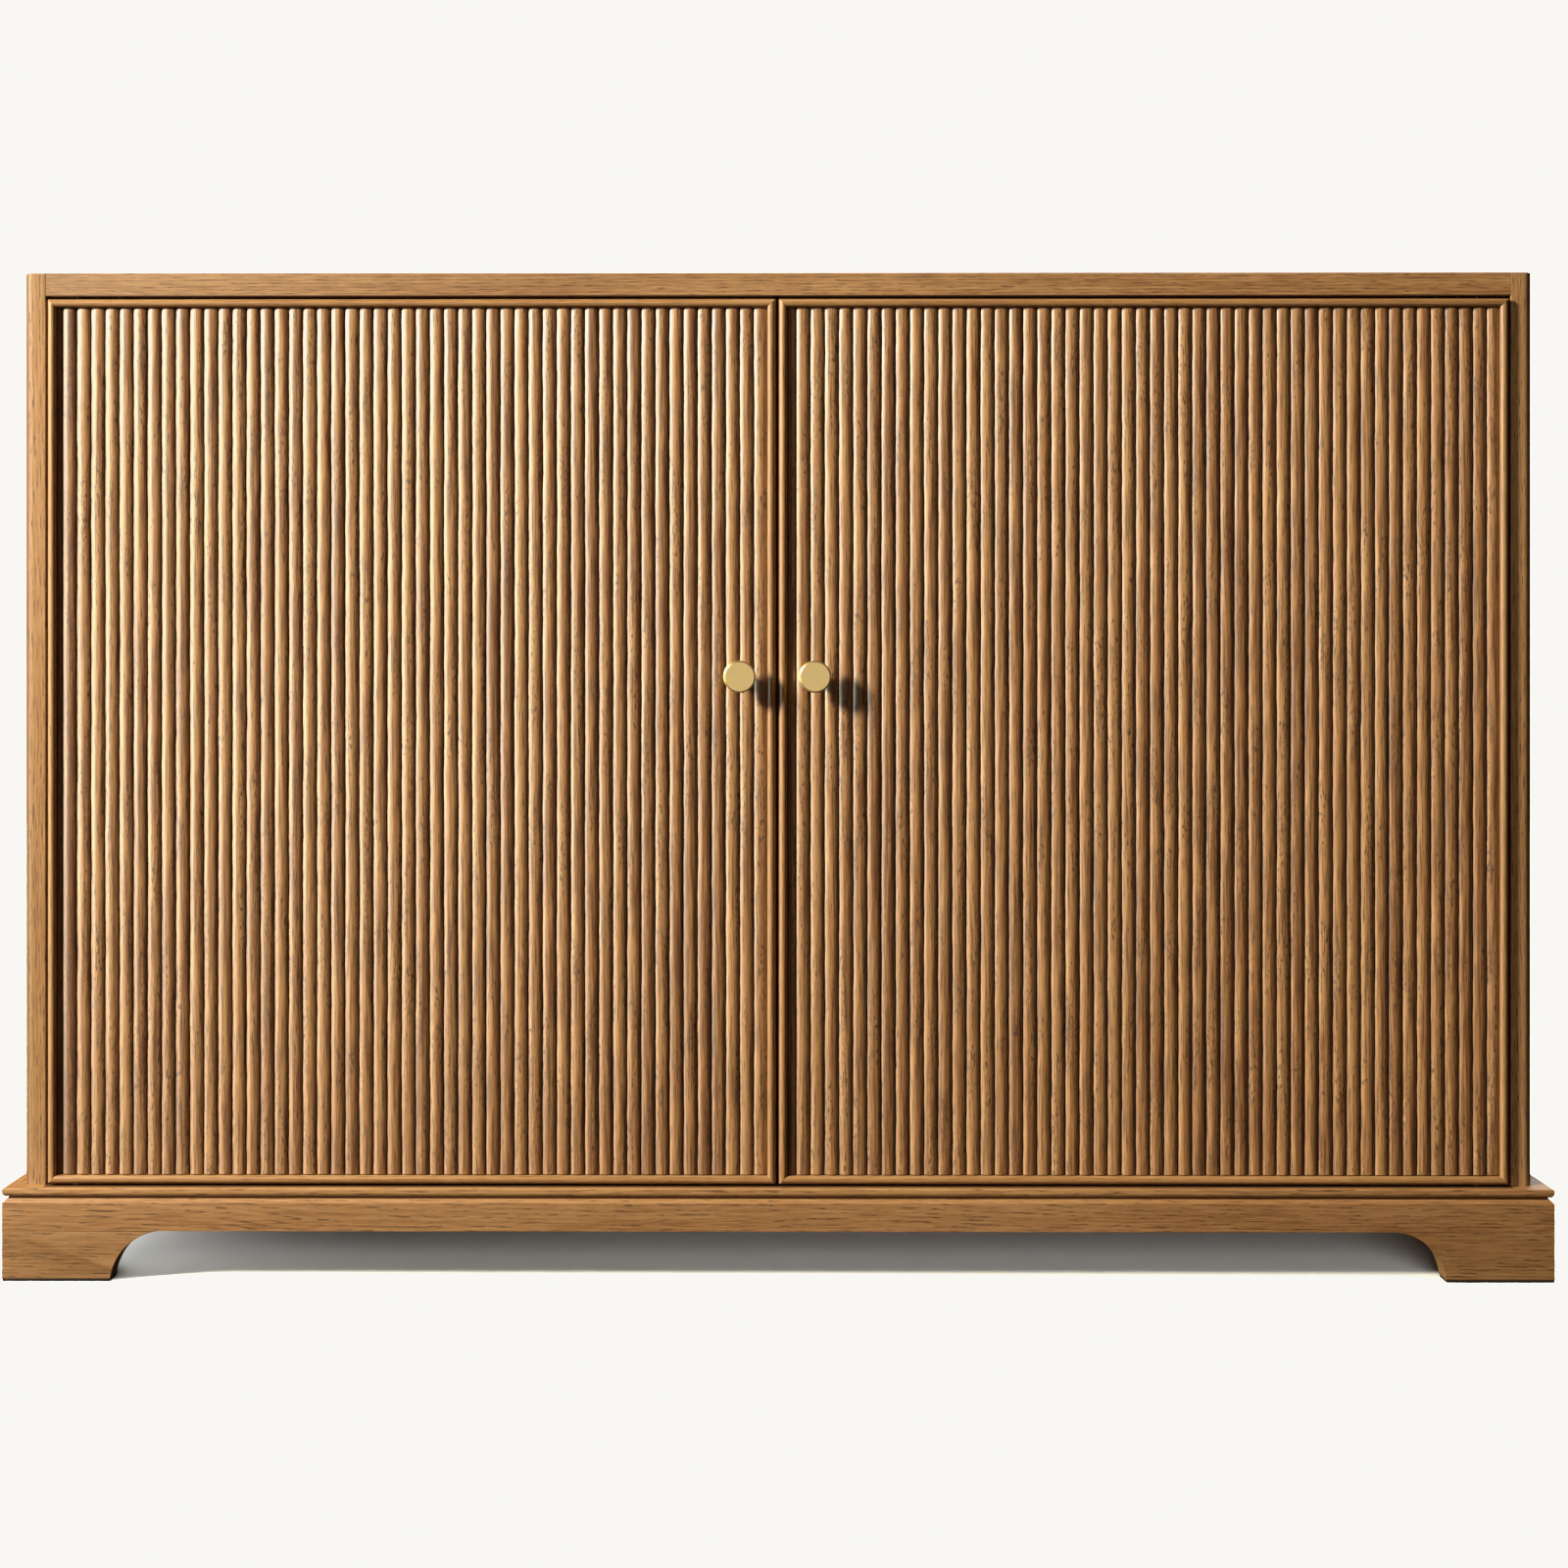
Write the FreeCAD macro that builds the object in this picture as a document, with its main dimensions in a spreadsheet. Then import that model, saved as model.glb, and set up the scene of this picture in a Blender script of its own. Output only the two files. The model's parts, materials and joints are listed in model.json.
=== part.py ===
import FreeCAD, Part

# An oak sideboard with two reeded doors, built in millimetres.
# x runs to the right, y to the back and z up. The origin is on the floor, under the middle of the whole.

import math
import operator
import os
from types import SimpleNamespace

import Sketcher
from FreeCAD import Placement, Rotation, Vector

SIZES = {
    # Case
    "case_width": 1372,
    "case_depth": 455,
    "case_height": 830,
    "side_thickness": 20,
    "corner_radius": 8,
    "top_thickness": 21.5,
    "edge_ease": 1,
    "back_thickness": 6,
    "back_lap": 10,
    "divider_thickness": 20,
    "divider_setback": 3,
    # Shelves and the pins that carry them
    "shelf_thickness": 20,
    "shelf_setback": 50,
    "shelf_rise": 386,
    "shelf_clearance": 1,
    "pin_radius": 2.5,
    "pin_depth": 8,
    "pin_reach": 8,
    "pin_inset": 60,
    "pin_hole_pitch": 32,
    "pin_hole_count": 7,
    # Base
    "base_overhang": 15,
    "board_thickness": 20,
    "rim_thickness": 8,
    "rim_round": 4.5,
    "rim_ease": 1,
    "rail_height": 30.5,
    "rail_thickness": 22,
    "rail_chamfer": 5,
    "foot_height": 43.5,
    "foot_length": 98,
    "foot_reach": 142,
    "arch_radius": 49.6,
    "block_width": 45,
    "bearer_thickness": 20,
    "glide_radius": 14,
    "glide_height": 2,
    "glide_ease": 0.5,
    # Doors
    "door_gap": 3,
    "top_gap": 3,
    "bottom_gap": 2,
    "core_thickness": 18,
    "core_setback": 2,
    "bead_width": 7.5,
    "bead_proud": 6,
    "bead_rise": 3.2,
    "reed_pitch": 12.8,
    "reed_height": 4.5,
    "reed_shoulder": 3.2,
    "reed_gap": 0.8,
    "narrow_reed_least": 3,
    # Knobs
    "knob_radius": 14.5,
    "knob_rim": 4.5,
    "knob_bevel": 1.8,
    "knob_flare": 4,
    "knob_projection": 19.5,
    "knob_inset": 32.5,
    "knob_rise": 460.5,
    "stem_radius": 6.5,
    "stem_clearance": 0.3,
    "knob_screw_radius": 2,
    "knob_screw_grip": 12,
    "knob_screw_head_radius": 4.5,
    "knob_screw_head": 2.2,
    # Pivots
    "pivot_inset": 25,
    "pivot_setback": 6,
    "pivot_radius": 2,
    "pivot_engage": 6.5,
    "plate_length": 52,
    "plate_width": 7,
    "plate_corner": 2.5,
    "plate_thickness": 2.5,
    "plate_screw_start": 18,
    "plate_screw_pitch": 20,
    "washer_radius": 4.5,
    # Catches, strike plates and bumpers
    "catch_offset": 90,
    "catch_width": 40,
    "catch_depth": 13,
    "catch_height": 12,
    "flange_width": 64,
    "flange_thickness": 3,
    "flange_screw_offset": 26,
    "strike_width": 46,
    "strike_height": 14,
    "strike_thickness": 1.5,
    "strike_drop": 2,
    "strike_screw_offset": 16,
    "strike_screw_drop": 8,
    "bumper_radius": 3,
    "bumper_offset": 6,
    "bumper_inset": 120,
    # Screws and dowels
    "small_head_radius": 2.9,
    "small_shank_radius": 1.5,
    "small_length": 14,
    "back_length": 25,
    "back_screw_inset": 60,
    "base_head_radius": 4,
    "base_shank_radius": 2.1,
    "base_length": 45,
    "base_screw_inset": 45,
    "base_screw_edge": 6,
    "dowel_radius": 4,
    "dowel_side_depth": 12,
    "dowel_top_depth": 21,
    "dowel_inset": 45,
    # Clearances
    "fit_gap": 0.1,
    "running_gap": 0.05,
    "rest_gap": 0.3,
}

# A cut-off reed is as round as this share of its width.
NARROW_REED_ROUND = 0.18
# Two places closer than this are the same.
TOUCH = 1e-6
SIDE_ROWS = 5
DIVIDER_ROWS = 3
BASE_ROWS = 4
DOWEL_ROWS = 4
LEFT = -1
RIGHT = 1
DOWN = -1
UP = 1
SIDE_NAMES = {LEFT: "left", RIGHT: "right"}
X_AXIS = Vector(1, 0, 0)
Y_AXIS = Vector(0, 1, 0)
Z_AXIS = Vector(0, 0, 1)

doc = FreeCAD.newDocument("Sideboard")
sheet = doc.addObject("Spreadsheet::Sheet", "Sizes")
for row, (alias, number) in enumerate(SIZES.items(), 1):
    sheet.set(f"A{row}", alias)
    sheet.set(f"B{row}", str(number))
    sheet.setAlias(f"B{row}", alias)
doc.recompute()

OPERATIONS = {"+": operator.add, "-": operator.sub, "*": operator.mul, "/": operator.truediv}


class Size:
    """A size in the sheet, or a sum of sizes: its value now, and the expression that follows the sheet."""

    def __init__(self, value, text):
        self.value = float(value)
        self.text = text

    def __add__(self, other):
        return combine(self, "+", other)

    def __radd__(self, other):
        return combine(other, "+", self)

    def __sub__(self, other):
        return combine(self, "-", other)

    def __rsub__(self, other):
        return combine(other, "-", self)

    def __mul__(self, other):
        return combine(self, "*", other)

    def __rmul__(self, other):
        return combine(other, "*", self)

    def __truediv__(self, other):
        return combine(self, "/", other)

    def __neg__(self):
        return combine(0, "-", self)


def as_size(amount):
    """Gives a bare number the form of a size."""
    if isinstance(amount, Size):
        return amount
    return Size(amount, str(amount))


def combine(first, sign, second):
    """Joins two sizes with +, -, * or /."""
    first = as_size(first)
    second = as_size(second)
    value = OPERATIONS[sign](first.value, second.value)
    return Size(value, f"({first.text} {sign} {second.text})")


def whole(amount):
    """The whole part of a size, for counting copies."""
    return Size(math.floor(amount.value), f"floor({amount.text})")


s = SimpleNamespace(**{name: Size(sheet.get(name), f"Sizes.{name}") for name in SIZES})

# Main planes
half_width = s.case_width / 2
knob_reach = s.knob_projection + s.reed_height - s.core_setback
front = (knob_reach - s.case_depth) / 2
back = front + s.case_depth
inner_x = half_width - s.side_thickness
base_half = half_width + s.base_overhang
base_front = front - s.base_overhang
base_depth = back - base_front
rail_bottom = s.glide_height + s.foot_height
rail_top = rail_bottom + s.rail_height
case_floor = rail_top + s.rim_thickness
board_bottom = case_floor - s.board_thickness
top = case_floor + s.case_height
ceiling = top - s.top_thickness
back_face = back - s.back_thickness

# Door planes
door_width = inner_x - s.door_gap - s.door_gap / 2
door_low = case_floor + s.bottom_gap
door_high = ceiling - s.top_gap
door_height = door_high - door_low
core_front = front + s.core_setback
core_back = core_front + s.core_thickness
divider_front = core_back + s.divider_setback
bead_depth = s.bead_proud + s.core_setback + s.core_thickness
field_width = door_width - 2 * s.bead_width
field_height = door_height - 2 * s.bead_width
reed_count = whole((field_width - s.narrow_reed_least) / s.reed_pitch)
narrow_width = field_width - reed_count * s.reed_pitch
knob_z = door_low + s.knob_rise
pivot_y = front + s.pivot_setback


def add(kind, label):
    """A new object of the document."""
    item = doc.addObject(kind, label)
    item.Label = label
    return item


def bind(item, name, amount):
    """Sets one property to a size and ties it to the sheet."""
    setattr(item, name, amount.value)
    item.setExpression(name, amount.text)


def place(item, point, rotation=Rotation()):
    """Puts an object at a point whose coordinates follow the sheet."""
    amounts = [as_size(amount) for amount in point]
    item.Placement = Placement(Vector(*[amount.value for amount in amounts]), rotation)
    for axis, amount in zip("xyz", amounts):
        item.setExpression(f"Placement.Base.{axis}", amount.text)
    return item


def facing(x_sign, z_sign):
    """The half turn that points local x and z along the given ways of the row's x and z."""
    if z_sign == UP:
        return Rotation(Z_AXIS, 0 if x_sign == RIGHT else 180)
    return Rotation(X_AXIS if x_sign == RIGHT else Y_AXIS, 180)


def board(label, x_span, y_span, z_span):
    """A square-edged board between two places along each axis."""
    item = add("Part::Box", label)
    for name, (low, high) in zip(("Length", "Width", "Height"), (x_span, y_span, z_span)):
        bind(item, name, high - low)
    return place(item, (x_span[0], y_span[0], z_span[0]))


def rod(label, radius, length, point, direction=Z_AXIS):
    """A round bar that starts at a point and runs along a direction."""
    item = add("Part::Cylinder", label)
    bind(item, "Radius", radius)
    bind(item, "Height", length)
    return place(item, point, Rotation(Z_AXIS, direction))


def group(label, items):
    """Separate solids kept together."""
    item = add("Part::Compound", label)
    item.Links = items
    return item


def copies(label, original, spots):
    """Copies of one object, each at a point with a rotation."""
    links = []
    for number, (point, rotation) in enumerate(spots, 1):
        link = add("App::Link", f"{label}_{number}")
        link.LinkedObject = original
        links.append(place(link, point, rotation))
    return group(label, links)


def cut(label, base, *tools):
    """A piece with the tools' shapes taken out."""
    item = add("Part::Cut", label)
    item.Base = base
    item.Tool = tools[0] if len(tools) == 1 else group(f"{label}_cutters", list(tools))
    return item


def origin_part(body, role):
    """One plane or axis of a body's own origin."""
    return next(part for part in body.Origin.OriginFeatures if part.Role == role)


def bulge(start, end, radius, hollow):
    """The middle of an arc between two points, right of the way for a round and left for a hollow."""
    chord = end - start
    rise = radius - math.sqrt(max(radius ** 2 - (chord.Length / 2) ** 2, 0))
    right = Vector(chord.y, -chord.x, 0).normalize()
    return (start + end) / 2 + right * (-rise if hollow else rise)


def outline(body, role, points):
    """A closed sketch through points given anticlockwise.

    A third value is the radius of the arc that ends at the point, and a fourth makes that arc hollow.
    """
    sketch = body.newObject("Sketcher::SketchObject", f"{body.Label}_outline")
    sketch.AttachmentSupport = [(origin_part(body, role), "")]
    sketch.MapMode = "FlatFace"
    places = [(as_size(point[0]), as_size(point[1])) for point in points]
    corners = [Vector(x.value, y.value, 0) for x, y in places]
    ends = []
    for index, point in enumerate(points):
        hollow = len(point) > 3
        start, end = corners[index - 1], corners[index]
        if len(point) == 2:
            sketch.addGeometry(Part.LineSegment(start, end))
        else:
            sketch.addGeometry(Part.Arc(start, bulge(start, end, point[2].value, hollow), end))
        ends.append((2, 1) if hollow else (1, 2))
    for index, (x, y) in enumerate(places):
        following = (index + 1) % len(points)
        last = ends[index][1]
        sketch.addConstraint(Sketcher.Constraint("Coincident", index, last, following, ends[following][0]))
        for kind, axis, amount in (("DistanceX", -2, x), ("DistanceY", -1, y)):
            if amount.value == 0:
                sketch.addConstraint(Sketcher.Constraint("PointOnObject", index, last, axis))
            else:
                measure = Sketcher.Constraint(kind, -1, 1, index, last, amount.value)
                tie(sketch, measure, amount)
        if len(points[index]) > 2:
            radius = points[index][2]
            tie(sketch, Sketcher.Constraint("Radius", index, radius.value), radius)
    return sketch


def tie(sketch, measure, amount):
    """Adds a measure to a sketch and ties it to the sheet."""
    number = sketch.addConstraint(measure)
    sketch.setExpression(f"Constraints[{number}]", amount.text)


def rise_radius(chord, rise):
    """The radius of an arc that stands as high as the rise over its chord."""
    return (chord * chord / 4 + rise * rise) / (2 * rise)


def new_body(label):
    """An empty body."""
    return add("PartDesign::Body", label)


def pad(body, sketch, length, reverse=False):
    """Adds a sketch's area, carried along its normal or against it."""
    feature = body.newObject("PartDesign::Pad", f"{body.Label}_pad")
    feature.Profile = sketch
    feature.Reversed = reverse
    bind(feature, "Length", length)
    return feature


def mitre(body, role, length, thickness, reverse, way=UP, both=True):
    """Cuts the ends of a bar at 45 degrees, with its full length on the local axis."""
    ends = [[(0, 0), (thickness, way * thickness), (0, way * thickness)]]
    if both:
        ends.append([(length, 0), (length, way * thickness), (length - thickness, way * thickness)])
    for points in ends:
        feature = body.newObject("PartDesign::Pocket", f"{body.Label}_mitre")
        feature.Profile = outline(body, role, points)
        feature.Type = "ThroughAll"
        feature.Reversed = reverse


def ease(body, radius, test):
    """Rounds the edges of a body that pass a test on their middle point."""
    doc.recompute()
    base = body.Tip
    names = []
    for number, edge in enumerate(base.Shape.Edges, 1):
        middle = edge.valueAt((edge.FirstParameter + edge.LastParameter) / 2)
        if test(middle):
            names.append(f"Edge{number}")
    feature = body.newObject("PartDesign::Fillet", f"{body.Label}_ease")
    feature.Base = (base, names)
    bind(feature, "Radius", radius)


def turned(label, points):
    """A piece turned about z, from its outline in radius and height."""
    body = new_body(label)
    feature = body.newObject("PartDesign::Revolution", f"{label}_turning")
    feature.Profile = outline(body, "XZ_Plane", points)
    feature.ReferenceAxis = (feature.Profile[0], ["V_Axis"])
    feature.Angle = 360
    return body


def rounded_plate(label, x_span, y_span, corner, thickness):
    """A flat plate with round corners, from z = 0 up."""
    x0, x1 = x_span
    y0, y1 = y_span
    body = new_body(label)
    points = [
        (x1 - corner, y0),
        (x1, y0 + corner, corner),
        (x1, y1 - corner),
        (x1 - corner, y1, corner),
        (x0 + corner, y1),
        (x0, y1 - corner, corner),
        (x0, y0 + corner),
        (x0 + corner, y0, corner),
    ]
    pad(body, outline(body, "XY_Plane", points), thickness)
    return body


def countersunk(label, head_radius, shank_radius, length, clearance):
    """A wood screw, or the hole for one: its head's face is at z = 0, and it points up."""
    head = head_radius + clearance
    shank = shank_radius + clearance
    tip = shank
    points = [(0, 0), (0, length + clearance), (shank, length + clearance - tip), (shank, head - shank), (head, 0)]
    return turned(label, list(reversed(points)))


def screws(label, size, spots):
    """A set of screws, and the matching set of holes."""
    fitted = copies(label, SCREWS[size], spots)
    holes = copies(f"{label}_holes", SCREW_HOLES[size], spots)
    return fitted, holes


def spread(low, high, count):
    """Places spread evenly from one end to the other."""
    return [low + (high - low) * number / (count - 1) for number in range(count)]


screw_sizes = {
    "small": (s.small_head_radius, s.small_shank_radius, s.small_length),
    "back": (s.small_head_radius, s.small_shank_radius, s.back_length),
    "base": (s.base_head_radius, s.base_shank_radius, s.base_length),
}
SCREWS = {name: countersunk(f"{name}_screw", *given, 0) for name, given in screw_sizes.items()}
SCREW_HOLES = {name: countersunk(f"{name}_hole", *given, s.fit_gap) for name, given in screw_sizes.items()}

nodes = []


def keep(*items):
    """Adds finished pieces to the list of nodes."""
    nodes.extend(items)


# Places of the fasteners that several pieces share

dowel_rows = spread(front + s.dowel_inset, back_face - s.dowel_inset, DOWEL_ROWS)
dowel_z = (ceiling + top) / 2
dowel_spots = {}
for side in (LEFT, RIGHT):
    outward = Rotation(Z_AXIS, side * X_AXIS)
    dowel_spots[side] = [((side * (inner_x - s.dowel_top_depth), y, dowel_z), outward) for y in dowel_rows]
dowel_length = s.dowel_top_depth + s.dowel_side_depth
dowel = rod("dowel", s.dowel_radius, dowel_length, (0, 0, 0))
dowel_bore = rod("dowel_bore", s.dowel_radius + s.fit_gap, dowel_length + s.fit_gap, (0, 0, -s.fit_gap))
dowels = {}
dowel_bores = {}
for side in (LEFT, RIGHT):
    dowels[side] = copies(f"{SIDE_NAMES[side]}_dowels", dowel, dowel_spots[side])
    dowel_bores[side] = copies(f"{SIDE_NAMES[side]}_dowel_bores", dowel_bore, dowel_spots[side])
keep(group("case_dowels", [dowels[LEFT], dowels[RIGHT]]))

base_rows = spread(front + s.base_screw_inset, back_face - s.base_screw_inset, BASE_ROWS)
base_columns = [-inner_x - s.base_screw_edge, as_size(0), inner_x + s.base_screw_edge]
base_spots = [((x, y, board_bottom), Rotation()) for x in base_columns for y in base_rows]
base_screws, base_holes = screws("base_screws", "base", base_spots)
keep(base_screws)

into_case = Rotation(Z_AXIS, -Y_AXIS)
back_heights = spread(case_floor + s.back_screw_inset, ceiling - s.back_screw_inset, SIDE_ROWS)
back_edge = inner_x + s.back_lap / 2
back_spots = [((side * back_edge, back, z), into_case) for side in (LEFT, RIGHT) for z in back_heights]
middle_heights = spread(case_floor + s.back_screw_inset, ceiling - s.back_screw_inset, DIVIDER_ROWS)
back_spots += [((0, back, z), into_case) for z in middle_heights]
top_columns = spread(s.back_screw_inset - inner_x, inner_x - s.back_screw_inset, SIDE_ROWS)
back_spots += [((x, back, ceiling + s.back_lap / 2), into_case) for x in top_columns]
back_screws, back_holes = screws("back_screws", "back", back_spots)
keep(back_screws)

# Shelf pins stand in columns of holes, a shelf's own pin in the middle hole.

pin_z = case_floor + s.shelf_rise - s.pin_radius
pin_rows = [front + s.shelf_setback + s.pin_inset, back_face - s.pin_inset]
half_divider = s.divider_thickness / 2
pin_walls = {
    "left_side": (-inner_x, LEFT),
    "left_divider": (-half_divider, RIGHT),
    "right_divider": (half_divider, LEFT),
    "right_side": (inner_x, RIGHT),
}
shelf_pin = turned("shelf_pin", [
    (s.pin_radius, -s.pin_reach),
    (s.pin_radius, s.pin_depth),
    (0, s.pin_depth),
    (0, -s.pin_reach),
])
pin_hole = rod("pin_hole", s.pin_radius + s.fit_gap, s.pin_depth + s.fit_gap, (0, 0, 0))
pin_holes = {}
pin_sets = []
steps = range(int(s.pin_hole_count.value))
for wall, (x, way) in pin_walls.items():
    into_wall = Rotation(Z_AXIS, way * X_AXIS)
    pin_sets.append(copies(f"{wall}_pins", shelf_pin, [((x, y, pin_z), into_wall) for y in pin_rows]))
    lowest = pin_z - s.pin_hole_pitch * whole(s.pin_hole_count / 2)
    heights = [lowest + s.pin_hole_pitch * step for step in steps]
    hole_spots = [((x, y, z), into_wall) for y in pin_rows for z in heights]
    pin_holes[wall] = copies(f"{wall}_pin_holes", pin_hole, hole_spots)
keep(group("shelf_pins", pin_sets))

# Pivots: a plate let into the case above and below each door, and one in each end of the door

plate_span = (-s.plate_width / 2, s.plate_length - s.plate_width / 2)
plate_band = (-s.plate_width / 2, s.plate_width / 2)
plate_blank = rounded_plate("plate_blank", plate_span, plate_band, s.plate_corner, s.plate_thickness)
mortise = rounded_plate(
    "plate_mortise",
    (plate_span[0] - s.fit_gap, plate_span[1] + s.fit_gap),
    (plate_band[0] - s.fit_gap, plate_band[1] + s.fit_gap),
    s.plate_corner + s.fit_gap,
    s.plate_thickness,
)
plate_screw_x = [s.plate_screw_start, s.plate_screw_start + s.plate_screw_pitch]
plate_holes = copies("plate_screw_holes", SCREW_HOLES["small"], [((x, 0, 0), Rotation()) for x in plate_screw_x])
fixed_bore = rod("fixed_bore", s.pivot_radius + s.running_gap / 2, s.plate_thickness, (0, 0, 0))
running_bore = rod("running_bore", s.pivot_radius + s.running_gap, s.plate_thickness, (0, 0, 0))
case_plate = cut("case_plate", plate_blank, plate_holes, fixed_bore)
door_plate = cut("door_plate", plate_blank, plate_holes, running_bore)


def pivot_x(side):
    """Where a door's pivots stand across the case."""
    return side * (inner_x - s.door_gap - s.pivot_inset)


def plate_spots(side, z, way):
    """Where a plate lies in the face at a height, and where its screws go in."""
    rotation = facing(-side, way)
    spot = ((pivot_x(side), pivot_y, z), rotation)
    return spot, [((pivot_x(side) - side * x, pivot_y, z), rotation) for x in plate_screw_x]


case_faces = ((case_floor, DOWN), (ceiling, UP))
case_plate_spots = {way: [] for _, way in case_faces}
case_screw_spots = {way: [] for _, way in case_faces}
pins = []
washers = []
for side in (LEFT, RIGHT):
    name = SIDE_NAMES[side]
    for z, way in case_faces:
        plate_spot, screw_spots = plate_spots(side, z, way)
        case_plate_spots[way].append(plate_spot)
        case_screw_spots[way] += screw_spots
    low_pin = s.plate_thickness + s.bottom_gap + s.pivot_engage
    high_pin = s.plate_thickness + s.top_gap + s.pivot_engage
    pins.append(rod(f"{name}_low_pin", s.pivot_radius, low_pin,
                    (pivot_x(side), pivot_y, case_floor - s.plate_thickness)))
    pins.append(rod(f"{name}_high_pin", s.pivot_radius, high_pin,
                    (pivot_x(side), pivot_y, ceiling + s.plate_thickness - high_pin)))
    spot = (pivot_x(side), pivot_y, case_floor)
    washer_height = s.bottom_gap - s.fit_gap
    disc = rod(f"{name}_washer_disc", s.washer_radius, washer_height, spot)
    eye = rod(f"{name}_washer_eye", s.pivot_radius + s.running_gap, washer_height, spot)
    washers.append(cut(f"{name}_washer", disc, eye))
keep(group("pivot_pins", pins))
keep(group("pivot_washers", washers))
keep(copies("case_pivot_plates", case_plate, case_plate_spots[DOWN] + case_plate_spots[UP]))
low_mortises = copies("low_mortises", mortise, case_plate_spots[DOWN])
high_mortises = copies("high_mortises", mortise, case_plate_spots[UP])
low_screws, low_screw_holes = screws("low_pivot_screws", "small", case_screw_spots[DOWN])
high_screws, high_screw_holes = screws("high_pivot_screws", "small", case_screw_spots[UP])
keep(group("case_pivot_screws", [low_screws, high_screws]))

# Magnetic catches under the top, behind each door's meeting edge

catch_front = core_back + s.strike_thickness + s.rest_gap
catch_y = (catch_front, catch_front + s.catch_depth)
catch_middle = catch_front + s.catch_depth / 2
catch_spots = []
for side in (LEFT, RIGHT):
    x = side * s.catch_offset
    for way in (LEFT, RIGHT):
        spot = (x + way * s.flange_screw_offset, catch_middle, ceiling - s.flange_thickness)
        catch_spots.append((spot, Rotation()))
catch_screws, catch_holes = screws("catch_screws", "small", catch_spots)
keep(catch_screws)


def span(middle, width):
    """The two ends of a width about its middle."""
    return middle - width / 2, middle + width / 2


for side in (LEFT, RIGHT):
    name = SIDE_NAMES[side]
    x = side * s.catch_offset
    block = board(f"{name}_catch_block", span(x, s.catch_width), catch_y, (ceiling - s.catch_height, ceiling))
    flange = board(f"{name}_catch_flange", span(x, s.flange_width), catch_y,
                   (ceiling - s.flange_thickness, ceiling))
    whole_catch = add("Part::Fuse", f"{name}_catch_blank")
    whole_catch.Base = block
    whole_catch.Tool = flange
    keep(cut(f"{name}_catch", whole_catch, catch_holes))

# Case: two sides on a bottom board, with the top between them


def side_panel(side):
    """A side: round outer front corner, a rebate for the back, and an eased upper edge."""
    name = f"{SIDE_NAMES[side]}_side"
    body = new_body(f"{name}_blank")
    wide = s.side_thickness
    rebate = s.case_depth - s.back_thickness
    points = [
        (wide - s.edge_ease, 0),
        (wide, s.edge_ease, s.edge_ease),
        (wide, rebate),
        (wide - s.back_lap, rebate),
        (wide - s.back_lap, s.case_depth),
        (0, s.case_depth),
        (0, s.corner_radius),
        (s.corner_radius, 0, s.corner_radius),
    ]
    pad(body, outline(body, "XY_Plane", points), s.case_height)
    upper = s.case_height.value if side == LEFT else 0
    outside = s.side_thickness.value - s.edge_ease.value
    behind = s.case_depth.value
    ease(body, s.edge_ease, lambda at: abs(at.z - upper) < TOUCH and at.x < outside and at.y < behind - TOUCH
         and (at.x < TOUCH or at.y < s.corner_radius.value))
    if side == LEFT:
        place(body, (-half_width, front, case_floor))
    else:
        place(body, (half_width, front, top), Rotation(Y_AXIS, 180))
    return cut(name, body, dowel_bores[side], base_holes, back_holes, pin_holes[name])


def top_panel():
    """The top: eased front edges and a rebate for the back."""
    body = new_body("top_panel_blank")
    rebate = s.case_depth - s.back_thickness
    points = [
        (rebate, 0),
        (rebate, s.back_lap),
        (s.case_depth, s.back_lap),
        (s.case_depth, s.top_thickness),
        (s.edge_ease, s.top_thickness),
        (0, s.top_thickness - s.edge_ease, s.edge_ease),
        (0, s.edge_ease),
        (s.edge_ease, 0, s.edge_ease),
    ]
    pad(body, outline(body, "YZ_Plane", points), 2 * inner_x)
    place(body, (-inner_x, front, ceiling))
    return cut("top_panel", body, dowel_bores[LEFT], dowel_bores[RIGHT], back_holes, high_mortises,
               high_screw_holes, catch_holes)


def rectangle(x_span, y_span):
    """The four corners of a rectangle, anticlockwise."""
    (x0, x1), (y0, y1) = x_span, y_span
    return [(x0, y0), (x1, y0), (x1, y1), (x0, y1)]


def bottom_board():
    """The bottom: a moulded rim over the rails, and a thicker middle that drops between them."""
    body = new_body("bottom_board_blank")
    rim = outline(body, "XY_Plane", rectangle((-base_half, base_half), (0, base_depth)))
    pad(body, rim, s.rim_thickness)
    inset = s.rail_thickness + s.fit_gap
    inside = rectangle((inset - base_half, base_half - inset), (inset, base_depth - inset))
    pad(body, outline(body, "XY_Plane", inside), s.board_thickness - s.rim_thickness, reverse=True)
    edge_x = base_half.value
    behind = base_depth.value

    def shown(at, z):
        outer = abs(abs(at.x) - edge_x) < TOUCH or at.y < TOUCH
        return abs(at.z - z) < TOUCH and outer and at.y < behind - TOUCH

    ease(body, s.rim_round, lambda at: shown(at, 0))
    ease(body, s.rim_ease, lambda at: shown(at, s.rim_thickness.value))
    place(body, (0, base_front, rail_top))
    return cut("bottom_board", body, base_holes, low_mortises, low_screw_holes)


keep(side_panel(LEFT), side_panel(RIGHT), top_panel(), bottom_board())

back_reach = inner_x + s.back_lap - s.fit_gap
back_blank = board("back_panel_blank", (-back_reach, back_reach), (back_face, back),
                   (case_floor, ceiling + s.back_lap - s.fit_gap))
keep(cut("back_panel", back_blank, back_holes))

divider_blank = board("centre_divider_blank", (-half_divider, half_divider), (divider_front, back_face),
                      (case_floor, ceiling))
keep(cut("centre_divider", divider_blank, base_holes, back_holes, pin_holes["left_divider"],
         pin_holes["right_divider"]))

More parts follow.
